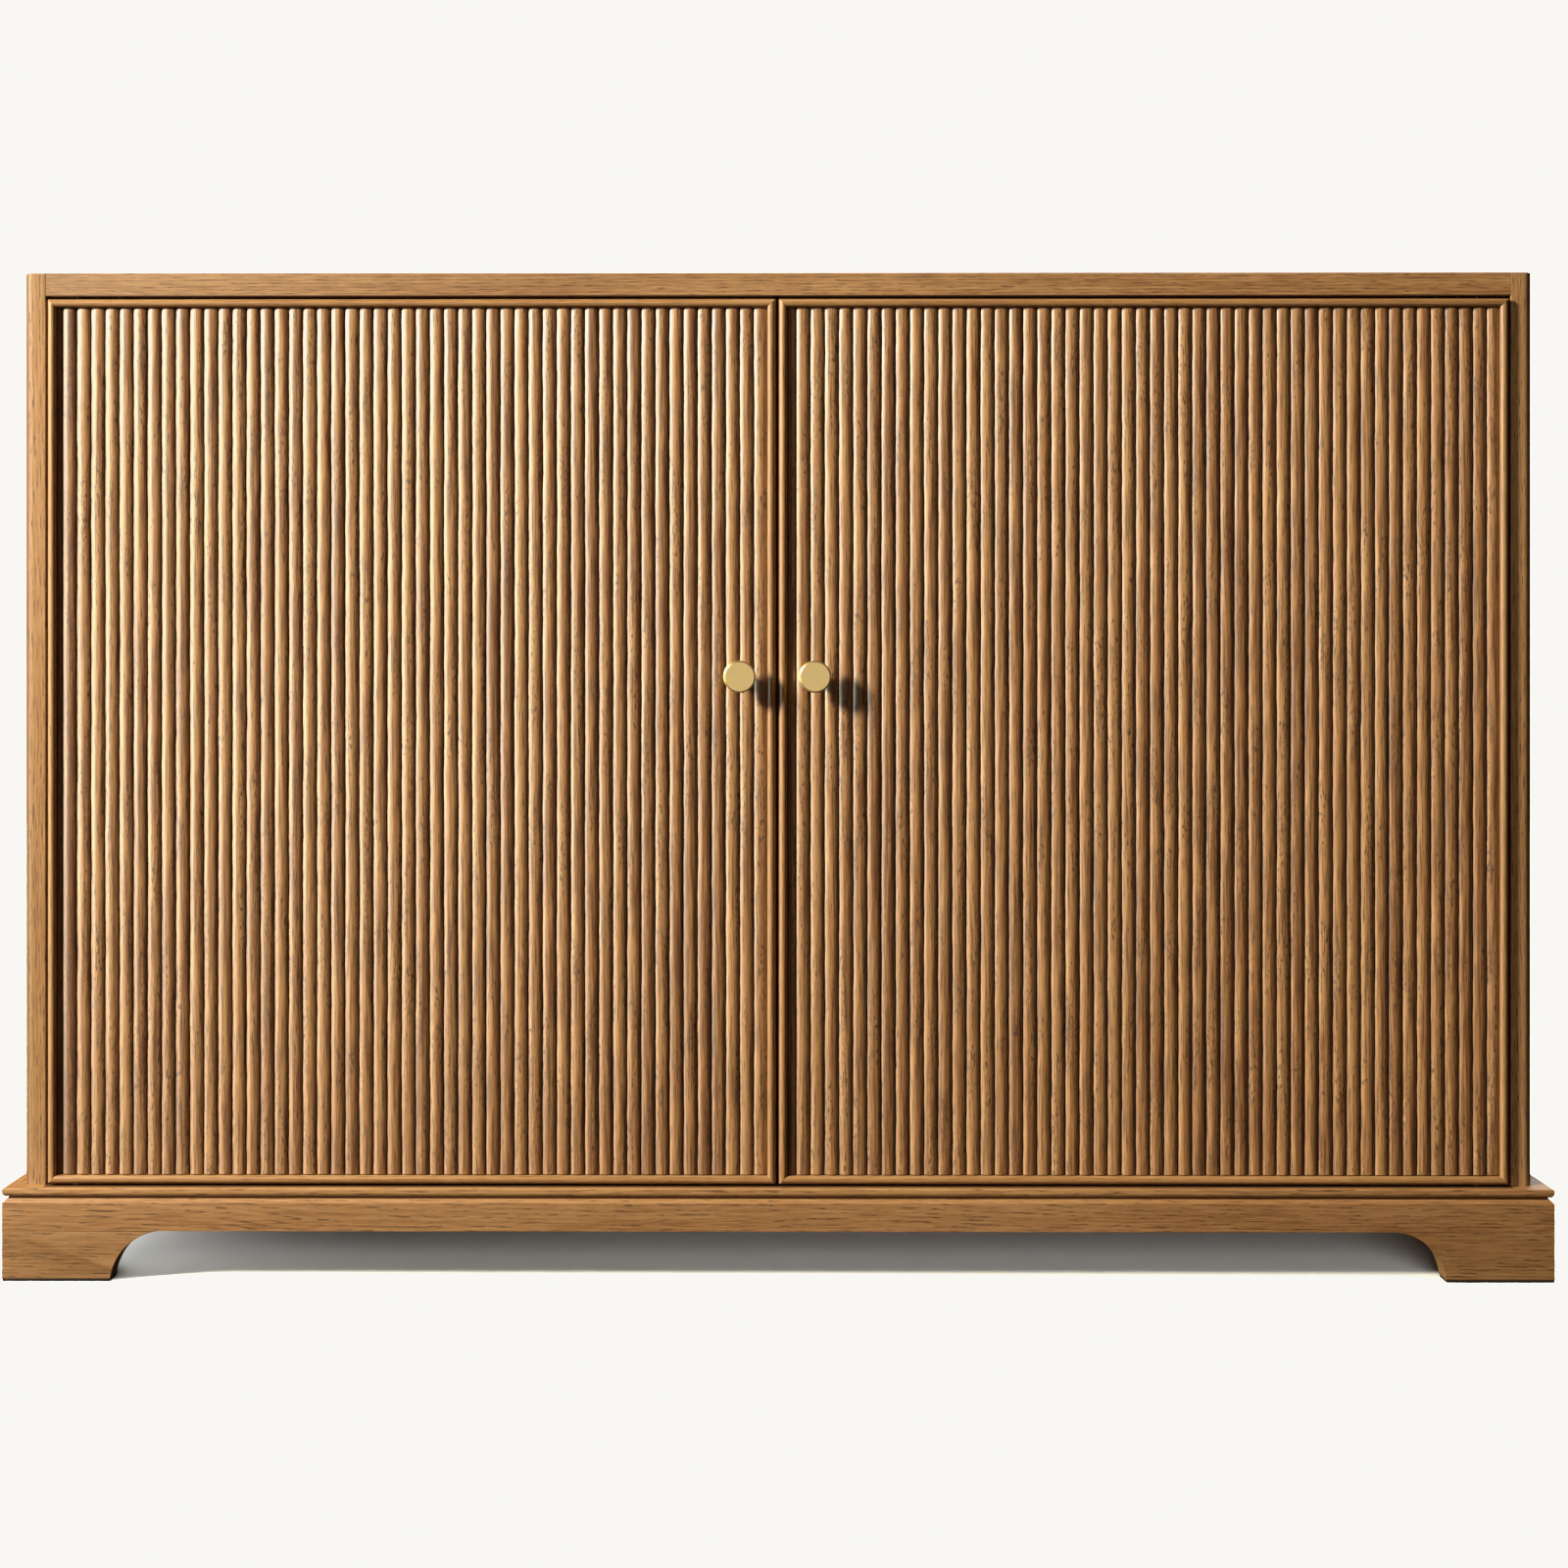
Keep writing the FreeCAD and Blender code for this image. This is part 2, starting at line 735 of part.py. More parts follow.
shelf_y = (front + s.shelf_setback, back_face - s.shelf_clearance)
shelf_z = (case_floor + s.shelf_rise, case_floor + s.shelf_rise + s.shelf_thickness)
shelf_x = (half_divider + s.shelf_clearance, inner_x - s.shelf_clearance)
keep(board("left_shelf", (-shelf_x[1], -shelf_x[0]), shelf_y, shelf_z))
keep(board("right_shelf", shelf_x, shelf_y, shelf_z))

# Base: mitred rails on four feet, each foot two mitred brackets with a block behind them


def rail(label, length, chamfer):
    """A rail with mitred ends: its outer face is at y = 0, and the chamfer is on its upper outer edge."""
    body = new_body(label)
    high, deep = s.rail_height, s.rail_thickness
    points = [(0, 0), (deep, 0), (deep, high)]
    if chamfer:
        points += [(s.rail_chamfer, high), (0, high - s.rail_chamfer)]
    else:
        points.append((0, high))
    pad(body, outline(body, "YZ_Plane", points), length)
    mitre(body, "XY_Plane", length, deep, reverse=True)
    return body


front_blank = place(rail("front_rail_blank", 2 * base_half, True), (-base_half, base_front, rail_bottom))
keep(cut("front_rail", front_blank, low_screw_holes))
keep(place(rail("back_rail", 2 * base_half, False), (base_half, back, rail_bottom), Rotation(Z_AXIS, 180)))
keep(place(rail("left_rail", base_depth, True), (-base_half, back, rail_bottom), Rotation(Z_AXIS, -90)))
keep(place(rail("right_rail", base_depth, True), (base_half, base_front, rail_bottom), Rotation(Z_AXIS, 90)))


def foot_bracket(label, way):
    """One arm of a foot, along x from its corner, with its thickness on the given side of y = 0."""
    body = new_body(label)
    points = [
        (0, 0),
        (s.foot_length, 0),
        (s.foot_reach, s.foot_height, s.arch_radius, "hollow"),
        (0, s.foot_height),
    ]
    pad(body, outline(body, "XZ_Plane", points), s.rail_thickness, reverse=way == UP)
    mitre(body, "XY_Plane", s.foot_reach, s.rail_thickness, True, way, both=False)
    return body


right_hand = foot_bracket("right_hand_bracket", UP)
left_hand = foot_bracket("left_hand_bracket", DOWN)
corners = {
    "front_left": ((-base_half, base_front), 0, 90),
    "front_right": ((base_half, base_front), 90, 180),
    "back_right": ((base_half, back), 180, -90),
    "back_left": ((-base_half, back), -90, 0),
}
glide_spots = []
blocks = []
for name, ((x, y), right_turn, left_turn) in corners.items():
    spot = (x, y, s.glide_height)
    arms = []
    for hand, bracket, degrees in (("right", right_hand, right_turn), ("left", left_hand, left_turn)):
        arm = add("App::Link", f"{name}_{hand}_arm")
        arm.LinkedObject = bracket
        arms.append(place(arm, spot, Rotation(Z_AXIS, degrees)))
    keep(group(f"{name}_foot", arms))
    inset = s.rail_thickness + s.block_width / 2
    middle_x = x - math.copysign(1, x.value) * inset
    middle_y = y - math.copysign(1, y.value) * inset
    blocks.append(board(f"{name}_block", span(middle_x, s.block_width), span(middle_y, s.block_width),
                        (s.glide_height, board_bottom)))
    glide_spots.append(((middle_x, middle_y, 0), Rotation()))
keep(group("corner_blocks", blocks))

glide = turned("glide", [
    (s.glide_radius - s.glide_ease, 0),
    (s.glide_radius, s.glide_ease, s.glide_ease),
    (s.glide_radius, s.glide_height),
    (0, s.glide_height),
    (0, 0),
])
keep(copies("glides", glide, glide_spots))

bearer_y = (base_front + s.rail_thickness, back - s.rail_thickness)
bearer_x = (s.rail_thickness + s.block_width) / 2
keep(board("centre_bearer", span(bearer_x, s.bearer_thickness), bearer_y, (rail_bottom, board_bottom)))

# Bumpers on the divider's front edge, which stop the doors

bumper_height = s.divider_setback - s.rest_gap
bumpers = []
for side in (LEFT, RIGHT):
    for level, z in (("low", case_floor + s.bumper_inset), ("high", ceiling - s.bumper_inset)):
        spot = (side * s.bumper_offset, divider_front, z)
        bumpers.append(rod(f"{SIDE_NAMES[side]}_{level}_bumper", s.bumper_radius, bumper_height, spot, -Y_AXIS))
keep(group("door_bumpers", bumpers))

# Doors: a core lipped with a half-round bead, half-round reeds on its face, and a turned knob


def bead(label, length):
    """A mitred strip along x: its outer edge is at z = 0, and its half-round crest at y = 0."""
    body = new_body(label)
    wide = s.bead_width
    points = [
        (bead_depth, 0),
        (bead_depth, wide),
        (s.bead_rise, wide),
        (s.bead_rise, 0, rise_radius(wide, s.bead_rise)),
    ]
    pad(body, outline(body, "YZ_Plane", points), length)
    mitre(body, "XZ_Plane", length, wide, reverse=False)
    return body


def reed_points(width, rise):
    """A half-round reed's outline, on its back at y = 0, with half a gap at each side."""
    edge = s.reed_gap / 2
    return [
        (edge, 0),
        (edge, -s.reed_shoulder),
        (width - edge, -s.reed_shoulder, rise_radius(width - s.reed_gap, rise)),
        (width - edge, 0),
    ]


def reeds(name, left, knob_x):
    """The reeds of one door: a cut-off one, then whole ones up to the right-hand bead."""
    length = field_height - 2 * s.reed_gap
    low = door_low + s.bead_width + s.reed_gap
    narrow = new_body(f"{name}_narrow_reed")
    pad(narrow, outline(narrow, "XY_Plane", reed_points(narrow_width, NARROW_REED_ROUND * narrow_width)), length)
    place(narrow, (left + s.bead_width, core_front, low))
    run = new_body(f"{name}_reed_run")
    first = pad(run, outline(run, "XY_Plane", reed_points(s.reed_pitch, s.reed_height - s.reed_shoulder)), length)
    rows = run.newObject("PartDesign::LinearPattern", f"{name}_reed_rows")
    rows.Originals = [first]
    rows.Direction = (origin_part(run, "X_Axis"), [""])
    bind(rows, "Length", s.reed_pitch * (reed_count - 1))
    rows.Occurrences = int(reed_count.value)
    rows.setExpression("Occurrences", reed_count.text)
    run.Tip = rows
    place(run, (left + s.bead_width + narrow_width, core_front, low))
    bore = rod(f"{name}_stem_bore", s.stem_radius + s.stem_clearance, s.reed_height + s.stem_clearance,
               (knob_x, core_front, knob_z), -Y_AXIS)
    return group(f"{name}_reeds", [narrow, cut(f"{name}_reeds_bored", run, bore)])


def knob_outline():
    """A knob standing on z = 0: a stem, a flare, a plain rim and a bevelled flat face, bored for its screw."""
    high = s.knob_projection + s.reed_height
    bore = s.knob_screw_radius + s.running_gap
    depth = s.knob_screw_grip + s.fit_gap
    rim = high - s.knob_bevel - s.knob_rim
    return [
        (bore, 0),
        (s.stem_radius, 0),
        (s.stem_radius, rim - s.knob_flare),
        (s.knob_radius, rim),
        (s.knob_radius, high - s.knob_bevel),
        (s.knob_radius - s.knob_bevel, high),
        (0, high),
        (0, depth),
        (bore, depth),
    ]


def knob_screw_outline():
    """A pan-head screw: its shank starts at z = 0 and points up, with the head below."""
    length = s.core_thickness + s.knob_screw_grip
    return [
        (0, -s.knob_screw_head),
        (s.knob_screw_head_radius, -s.knob_screw_head),
        (s.knob_screw_head_radius, 0),
        (s.knob_screw_radius, 0),
        (s.knob_screw_radius, length),
        (0, length),
    ]


def door(side):
    """One door and all that moves with it."""
    name = f"{SIDE_NAMES[side]}_door"
    left = s.door_gap - inner_x if side == LEFT else s.door_gap / 2
    right = left + door_width
    crest = front - s.bead_proud
    knob_x = side * (s.door_gap / 2 + s.knob_inset)
    forward = Rotation(Z_AXIS, -Y_AXIS)

    low_spot, low_drives = plate_spots(side, door_low, UP)
    high_spot, high_drives = plate_spots(side, door_high, DOWN)
    strike_x = side * s.catch_offset
    strike_face = core_back + s.strike_thickness
    strike_top = door_high - s.strike_drop
    drives = low_drives + high_drives
    for way in (LEFT, RIGHT):
        spot = (strike_x + way * s.strike_screw_offset, strike_face, strike_top - s.strike_screw_drop)
        drives.append((spot, forward))
    fitted, holes = screws(f"{name}_screws", "small", drives)
    mortises = copies(f"{name}_mortises", mortise, [low_spot, high_spot])
    pin_bores = []
    for level, z in (("low", door_low), ("high", door_high - s.pivot_engage - s.rest_gap)):
        pin_bores.append(rod(f"{name}_{level}_pin_bore", s.pivot_radius + s.rest_gap,
                             s.pivot_engage + s.rest_gap, (pivot_x(side), pivot_y, z)))
    bores = group(f"{name}_pin_bores", pin_bores)
    keep(fitted)
    keep(copies(f"{name}_pivot_plates", door_plate, [low_spot, high_spot]))

    inside = (left + s.bead_width, right - s.bead_width)
    core = board(f"{name}_core_blank", inside, (core_front, core_back),
                 (door_low + s.bead_width, door_high - s.bead_width))
    screw_bore = rod(f"{name}_screw_bore", s.knob_screw_radius + s.fit_gap, s.core_thickness,
                     (knob_x, core_back, knob_z), -Y_AXIS)
    keep(cut(f"{name}_core", core, holes, screw_bore))

    low_bead = place(bead(f"{name}_low_bead", door_width), (left, crest, door_low))
    high_bead = place(bead(f"{name}_high_bead", door_width), (right, crest, door_high), Rotation(Y_AXIS, 180))
    keep(cut(f"{name}_bottom_bead", low_bead, mortises, bores, holes))
    keep(cut(f"{name}_top_bead", high_bead, mortises, bores, holes))
    keep(place(bead(f"{name}_left_bead", door_height), (left, crest, door_high), Rotation(Y_AXIS, 90)))
    keep(place(bead(f"{name}_right_bead", door_height), (right, crest, door_low), Rotation(Y_AXIS, -90)))
    keep(reeds(name, left, knob_x))

    keep(place(turned(f"{SIDE_NAMES[side]}_knob", knob_outline()), (knob_x, core_front, knob_z), forward))
    keep(place(turned(f"{SIDE_NAMES[side]}_knob_screw", knob_screw_outline()),
               (knob_x, core_back, knob_z), forward))
    strike = board(f"{SIDE_NAMES[side]}_strike_blank", span(strike_x, s.strike_width),
                   (core_back, strike_face), (strike_top - s.strike_height, strike_top))
    keep(cut(f"{SIDE_NAMES[side]}_strike_plate", strike, holes))


door(LEFT)
door(RIGHT)

doc.recompute()
faults = [item.Label for item in doc.Objects if "Invalid" in item.State or "Error" in item.State]
faults += [item.Label for item in nodes if item.Shape.isNull() or not item.Shape.isValid()]
if faults:
    raise RuntimeError(f"these pieces failed: {faults}")
os.makedirs("parts", exist_ok=True)
for item in nodes:
    item.Shape.exportStep(f"parts/{item.Label}.step")
print(f"{len(nodes)} nodes, {sum(len(item.Shape.Solids) for item in nodes)} solids")
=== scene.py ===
"""An oak sideboard with two reeded doors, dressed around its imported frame. Lengths are in metres."""

import json
import math

import bmesh
import bpy
import numpy as np
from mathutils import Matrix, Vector


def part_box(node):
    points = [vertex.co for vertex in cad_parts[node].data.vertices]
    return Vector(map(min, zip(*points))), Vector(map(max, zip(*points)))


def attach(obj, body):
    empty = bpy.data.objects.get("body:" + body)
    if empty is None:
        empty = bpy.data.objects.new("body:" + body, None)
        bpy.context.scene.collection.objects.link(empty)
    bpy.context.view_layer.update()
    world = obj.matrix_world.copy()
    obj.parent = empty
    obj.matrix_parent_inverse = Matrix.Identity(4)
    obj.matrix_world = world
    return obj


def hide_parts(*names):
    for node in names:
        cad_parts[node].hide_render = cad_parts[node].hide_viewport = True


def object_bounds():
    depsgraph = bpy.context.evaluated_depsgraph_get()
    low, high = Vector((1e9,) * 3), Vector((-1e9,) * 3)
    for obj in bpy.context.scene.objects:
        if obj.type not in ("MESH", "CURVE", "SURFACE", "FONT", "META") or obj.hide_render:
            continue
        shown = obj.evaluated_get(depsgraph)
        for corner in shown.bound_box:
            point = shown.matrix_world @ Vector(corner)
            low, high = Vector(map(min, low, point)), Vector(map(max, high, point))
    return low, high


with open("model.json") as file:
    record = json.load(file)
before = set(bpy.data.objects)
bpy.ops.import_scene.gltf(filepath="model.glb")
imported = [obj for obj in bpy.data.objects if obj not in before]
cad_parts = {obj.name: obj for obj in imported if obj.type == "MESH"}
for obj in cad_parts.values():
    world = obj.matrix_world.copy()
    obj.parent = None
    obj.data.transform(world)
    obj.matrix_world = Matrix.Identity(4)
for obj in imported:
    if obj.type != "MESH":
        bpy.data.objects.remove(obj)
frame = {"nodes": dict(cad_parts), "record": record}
cad_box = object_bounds()
nodes = frame["nodes"]
behaviour = frame["record"]["behaviour"]
body_of_node = {name: body for body, names in behaviour["bodies"].items() for name in names}

# The photograph, in pixels, and where its camera stood
PHOTO_SIDE = 1600
FOCAL_PIXELS = 2294
AXIS_PIXEL = (783.5, 685.5)
CAMERA_DISTANCE = 2.029
CAMERA_HEIGHT = 0.551
CAMERA_TURN = 0.0042
# In millimetres, as the camera has it
SENSOR_WIDTH = 36.0

# Planes and places that the frame gives
middle = (cad_box[0] + cad_box[1]) / 2
base_low, base_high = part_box("bottom_board")
case_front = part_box("left_side")[0].y
case_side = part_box("right_side")[1].x
opening_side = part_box("right_side")[0].x
opening_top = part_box("top_panel")[0].z
opening_bottom = base_high.z
core_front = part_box("left_door_core")[0].y
bead_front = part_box("left_door_bottom_bead")[0].y
foot_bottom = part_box("glides")[1].z
knob_low, knob_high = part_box("right_knob")
knob_centre = ((knob_low.x + knob_high.x) / 2, (knob_low.z + knob_high.z) / 2)

SEED = 11


class Finish:
    """A node material, with one short call for each kind of node that the finishes use."""

    # A Mix node's two inputs and its output, for each kind of data
    MIX_SOCKETS = {"VECTOR": (4, 5, 1), "RGBA": (6, 7, 2)}

    def __init__(self, name, **constants):
        self.material = bpy.data.materials.new(name)
        self.material.use_nodes = True
        self.tree = self.material.node_tree
        self.surface = self.tree.nodes["Principled BSDF"]
        self.place = self.node("TexCoord").outputs["Object"]
        for socket, value in constants.items():
            self.surface.inputs[socket.replace("_", " ")].default_value = value

    def node(self, kind, sockets=None, **settings):
        """A new node with its settings, and its sockets fed with values or other sockets."""
        made = self.tree.nodes.new("ShaderNode" + kind)
        for name, value in settings.items():
            setattr(made, name, value)
        for socket, value in (sockets or {}).items():
            self.feed(made.inputs[socket], value)
        return made

    def feed(self, socket, value):
        if isinstance(value, bpy.types.NodeSocket):
            self.tree.links.new(value, socket)
        else:
            socket.default_value = value

    def attribute(self, name):
        """A number that the mesh holds for each of its points."""
        return self.node("Attribute", attribute_name=name).outputs["Fac"]

    def math(self, operation, first, second=0.0, third=0.0):
        return self.node("Math", {0: first, 1: second, 2: third}, operation=operation).outputs[0]

    def centred(self, value, weight):
        """A value between 0 and 1 times the weight, moved so that its middle is 0."""
        return self.math("MULTIPLY_ADD", value, weight, -weight / 2)

    def distance(self, first, second):
        """The length of a line, from its parts along two axes."""
        squares = [self.math("MULTIPLY", part, part) for part in (first, second)]
        return self.math("SQRT", self.math("ADD", *squares))

    def vector(self, operation, first, second):
        return self.node("VectorMath", {0: first, 1: second}, operation=operation).outputs[0]

    def split(self, vector):
        return self.node("SeparateXYZ", {0: vector}).outputs[:3]

    def join(self, x, y, z):
        return self.node("CombineXYZ", {0: x, 1: y, 2: z}).outputs[0]

    def noise(self, vector, cell, detail=1.0, rough=0.5):
        """Smooth noise between 0 and 1, whose lumps have the size of the cell along each axis."""
        size = cell if isinstance(cell, tuple) else (cell,) * 3
        scaled = self.vector("DIVIDE", vector, size)
        sockets = {"Vector": scaled, "Scale": 1.0, "Detail": detail, "Roughness": rough}
        return self.node("TexNoise", sockets).outputs[0]

    def chance(self, value):
        """A random number between 0 and 1 for each whole number."""
        return self.node("TexWhiteNoise", {"W": value}, noise_dimensions="1D").outputs["Value"]

    def remap(self, value, low, high, new_low=0.0, new_high=1.0):
        """The value taken from one range to another, eased at both ends."""
        sockets = {0: value, 1: low, 2: high, 3: new_low, 4: new_high}
        return self.node("MapRange", sockets, interpolation_type="SMOOTHSTEP").outputs[0]

    def fade(self, value, low, high):
        """1 up to the low value, and 0 from the high one on."""
        return self.remap(value, low, high, 1.0, 0.0)

    def ramp(self, value, *stops):
        """Colours in order along the value, each given as (place, colour)."""
        made = self.node("ValToRGB", {0: value})
        elements = made.color_ramp.elements
        for place, colour in stops[len(elements):]:
            elements.new(place)
        for element, (place, colour) in zip(elements, stops):
            element.position = place
            element.color = (*colour, 1.0)
        return made.outputs[0]

    def mix(self, share, first, second, kind="RGBA", blend="MIX"):
        """Two colours or two vectors, mixed by the share of the second."""
        first_socket, second_socket, result = self.MIX_SOCKETS[kind]
        made = self.node("Mix", data_type=kind, blend_type=blend)
        self.feed(made.inputs[0], share)
        for socket, value in ((first_socket, first), (second_socket, second)):
            self.feed(made.inputs[socket], (*value, 1.0) if isinstance(value, tuple) else value)
        return made.outputs[result]

    def colour(self, value):
        self.feed(self.surface.inputs["Base Color"], value)

    def roughness(self, value):
        self.feed(self.surface.inputs["Roughness"], value)

    def bump(self, height, depth, strength=1.0):
        """Relief from a height between 0 and 1, as deep as said."""
        sockets = {"Height": height, "Distance": depth, "Strength": strength}
        self.feed(self.surface.inputs["Normal"], self.node("Bump", sockets).outputs[0])


# Wood: every board has its grain along one axis, growth rings about a pith beside it, pores and fibres

# Colours of the oak, as linear light, with their places on the scale from dark to pale
OAK_DARK = (0.190, 0.070, 0.019)
OAK_MIDDLE = (0.350, 0.157, 0.050)
OAK_PALE = (0.470, 0.242, 0.092)
OAK_SCALE = ((0.25, OAK_DARK), (0.48, OAK_MIDDLE), (0.75, OAK_PALE))
# The brown of open pores, which is also the colour of the painted shade
PORE_AND_SHADE_BROWN = (0.055, 0.020, 0.006)

AXIS_ORDER = {"X": (0, 1, 2), "Y": (1, 0, 2), "Z": (2, 0, 1)}
# How far apart in the log planks and reeds come from, along, across and through the grain
PLANK_THROW = (7.0, 0.9, 0.4)
REED_THROW = (9.0, 0.37, 0.0)

# Rings: their width, how the log leans, how they waver, and where the early wood ends in each
RING_WIDTH = 0.0030
LOG_LEAN = 0.03
WAVER_CELL = (0.30, 0.07, 0.07)
WAVER_SIZE = 0.030
EARLY_RANGE = (0.05, 0.55)

# Cells of the grain, along, across and through it
FIBRE_STRETCH = 27
STREAK_CELL = (0.24, 0.0060, 0.0060)
BROAD_CELL = (0.35, 0.040, 0.040)
DASH_CELL = (0.015, 0.0011, 0.0011)
SPECK_CELL = (0.0055, 0.0014, 0.0014)
CLUSTER_CELL = (0.070, 0.008, 0.008)
THREAD_CELL = (0.055, 0.0014, 0.0014)

# Where the noise of a mark begins to show, and where it shows in full
DASH_RANGE = (0.55, 0.64)
SPECK_RANGE = (0.56, 0.64)
CLUSTER_RANGE = (0.49, 0.60)
THREAD_RANGE = (0.52, 0.68)
THREAD_DARKNESS = 0.7
LATE_WOOD_SHARE = 0.25

# How much each part of the grain counts in the colour, the roughness and the relief
LEVEL_START = 0.42
LUCK_WEIGHT = 0.20
STREAK_WEIGHT = 0.36
BROAD_WEIGHT = 0.25
EARLY_WEIGHT = -0.07
# How far painted shade darkens the wood
PAINTED_SHADE_DARKNESS = 0.9
PORE_DARKNESS = 0.85
OAK_ROUGHNESS = 0.40
FIBRE_ROUGHNESS = 0.12
PORE_ROUGHNESS = 0.25
FIBRE_RELIEF = 0.35


def along_grain(finish, grain):
    """The place with the grain's axis first."""
    parts = finish.split(finish.place)
    return finish.join(*(parts[i] for i in AXIS_ORDER[grain]))


def along_mitre(finish, reach):
    """The place with X first, and with Y first in the mitred returns along the left and right edges."""
    x, y, z = finish.split(finish.place)
    from_side = finish.math("SUBTRACT", base_high.x, finish.math("ABSOLUTE", x))
    from_front = finish.math("SUBTRACT", y, base_low.y)
    from_back = finish.math("SUBTRACT", base_high.y, y)
    nearer = finish.math("LESS_THAN", from_side, finish.math("MINIMUM", from_front, from_back))
    is_return = finish.math("MULTIPLY", nearer, finish.math("LESS_THAN", from_side, reach))
    return finish.mix(is_return, finish.join(x, y, z), finish.join(y, x, z), kind="VECTOR")


def plank_luck(finish, space, width):
    """A random number for each plank of the width."""
    across = finish.split(space)[1]
    return finish.chance(finish.math("FLOOR", finish.math("DIVIDE", across, width)))


def thrown(finish, space, luck, throw):
    """The grain's place, moved to another part of the log by luck."""
    return finish.vector("ADD", space, finish.vector("MULTIPLY", throw, luck))


def tinted(colour, tone):
    """The colour times a tone: one number, or one for each of its three parts."""
    tones = tone if isinstance(tone, tuple) else (tone,) * 3
    return tuple(part * share for part, share in zip(colour, tones))


def early_wood(finish, space, pith):
    """1 in the open early wood of each ring, and 0 in the late wood."""
    waver = finish.noise(space, WAVER_CELL, detail=2.0)
    along, across, through = finish.split(space)
    side = finish.math("MULTIPLY_ADD", waver, WAVER_SIZE, finish.math("SUBTRACT", across, pith[0]))
    leaning = finish.math("MULTIPLY_ADD", along, LOG_LEAN, side)
    from_pith = finish.distance(leaning, finish.math("SUBTRACT", through, pith[1]))
    ring = finish.math("FRACT", finish.math("DIVIDE", from_pith, RING_WIDTH))
    return finish.fade(ring, *EARLY_RANGE)


def open_marks(finish, space, early, pits):
    """Where the grain is open: dashes, mostly in the early wood, and with pits also specks and threads."""
    dashes = finish.remap(finish.noise(space, DASH_CELL, rough=0.6), *DASH_RANGE)
    share = finish.math("MULTIPLY_ADD", early, 1.0 - LATE_WOOD_SHARE, LATE_WOOD_SHARE)
    marks = finish.math("MULTIPLY", dashes, share)
    if pits:
        speck = finish.remap(finish.noise(space, SPECK_CELL), *SPECK_RANGE)
        cluster = finish.remap(finish.noise(space, CLUSTER_CELL), *CLUSTER_RANGE)
        specks = finish.math("MULTIPLY", speck, cluster)
        thread = finish.noise(space, THREAD_CELL, detail=2.0)
        threads = finish.remap(thread, *THREAD_RANGE, 0.0, THREAD_DARKNESS)
        pitted = finish.math("MULTIPLY", finish.math("MAXIMUM", specks, threads), pits)
        marks = finish.math("MAXIMUM", marks, pitted)
    return marks


def grain_level(finish, space, fibre, early, luck, contrast):
    """How pale the wood is, on the oak's scale."""
    streak = finish.noise(space, STREAK_CELL, detail=2.0)
    broad = finish.noise(space, BROAD_CELL)
    parts = [
        finish.centred(fibre, contrast),
        finish.centred(streak, STREAK_WEIGHT * contrast),
        finish.centred(broad, BROAD_WEIGHT),
        finish.math("MULTIPLY", early, EARLY_WEIGHT),
    ]
    level = finish.math("MULTIPLY_ADD", luck, LUCK_WEIGHT, LEVEL_START)
    for part in parts:
        level = finish.math("ADD", level, part)
    return level


def painted_shade_along(finish, body, left_grey, right_grey):
    """Painted shade: the colour times one grey at the left end of the base and another at its right end."""
    reach = finish.math("MULTIPLY_ADD", finish.split(finish.place)[0], 0.5 / base_high.x, 0.5)
    greys = finish.ramp(reach, (0.0, (left_grey,) * 3), (1.0, (right_grey,) * 3))
    return finish.mix(1.0, body, greys, blend="MULTIPLY")


def oak(name, space_of, pith=(0.0, 0.0), seed=0.0, tone=1.0, plank=0.0, open_pores=1.0, depth=0.00007,
        luck_from=None, pits=0.0, painted_shade=None, fibre_width=0.0011, contrast=0.8, coat=0.35, painted_falloff=None):
    """Oak whose grain runs along the first axis of space_of(finish)."""
    finish = Finish(name, Specular_IOR_Level=0.3, Coat_Weight=coat, Coat_Roughness=0.42, Coat_IOR=1.8)
    space = space_of(finish)
    luck = 0.5
    if plank:
        luck = plank_luck(finish, space, plank)
        space = thrown(finish, space, luck, PLANK_THROW)
    if luck_from:
        luck = finish.attribute(luck_from)
        space = thrown(finish, space, luck, REED_THROW)
    space = finish.vector("ADD", space, (seed, 0.0, 0.0))
    early = early_wood(finish, space, pith)
    fibre_cell = (FIBRE_STRETCH * fibre_width, fibre_width, fibre_width)
    fibre = finish.noise(space, fibre_cell, detail=3.0, rough=0.65)
    pores = finish.math("MULTIPLY", open_marks(finish, space, early, pits), open_pores)
    level = grain_level(finish, space, fibre, early, luck, contrast)
    body = finish.ramp(level, *((place, tinted(colour, tone)) for place, colour in OAK_SCALE))
    dark = tinted(PORE_AND_SHADE_BROWN, tone)
    # Painted shade that evens out the key light's fall along the board
    if painted_falloff:
        body = painted_shade_along(finish, body, *painted_falloff)
    # Painted shade: the wood darkened towards the brown where the mask of painted shade says
    if painted_shade:
        body = finish.mix(finish.math("MULTIPLY", painted_shade(finish), PAINTED_SHADE_DARKNESS), body, dark)
    finish.colour(finish.mix(finish.math("MULTIPLY", pores, PORE_DARKNESS), body, dark))
    between_pores = finish.math("MULTIPLY_ADD", fibre, FIBRE_ROUGHNESS, OAK_ROUGHNESS)
    finish.roughness(finish.math("MULTIPLY_ADD", pores, PORE_ROUGHNESS, between_pores))
    finish.bump(finish.math("SUBTRACT", finish.math("MULTIPLY", fibre, FIBRE_RELIEF), pores), depth)
    return finish.material


def lengthwise(finish):
    return along_grain(finish, "X")


def frontwise(finish):
    return along_grain(finish, "Y")


def upright(finish):
    return along_grain(finish, "Z")


RETURN_REACH = 0.035
WHOLE_FOOT = 0.5


def mitred_rim(finish):
    return along_mitre(finish, RETURN_REACH)


def mitred_foot(finish):
    return along_mitre(finish, WHOLE_FOOT)
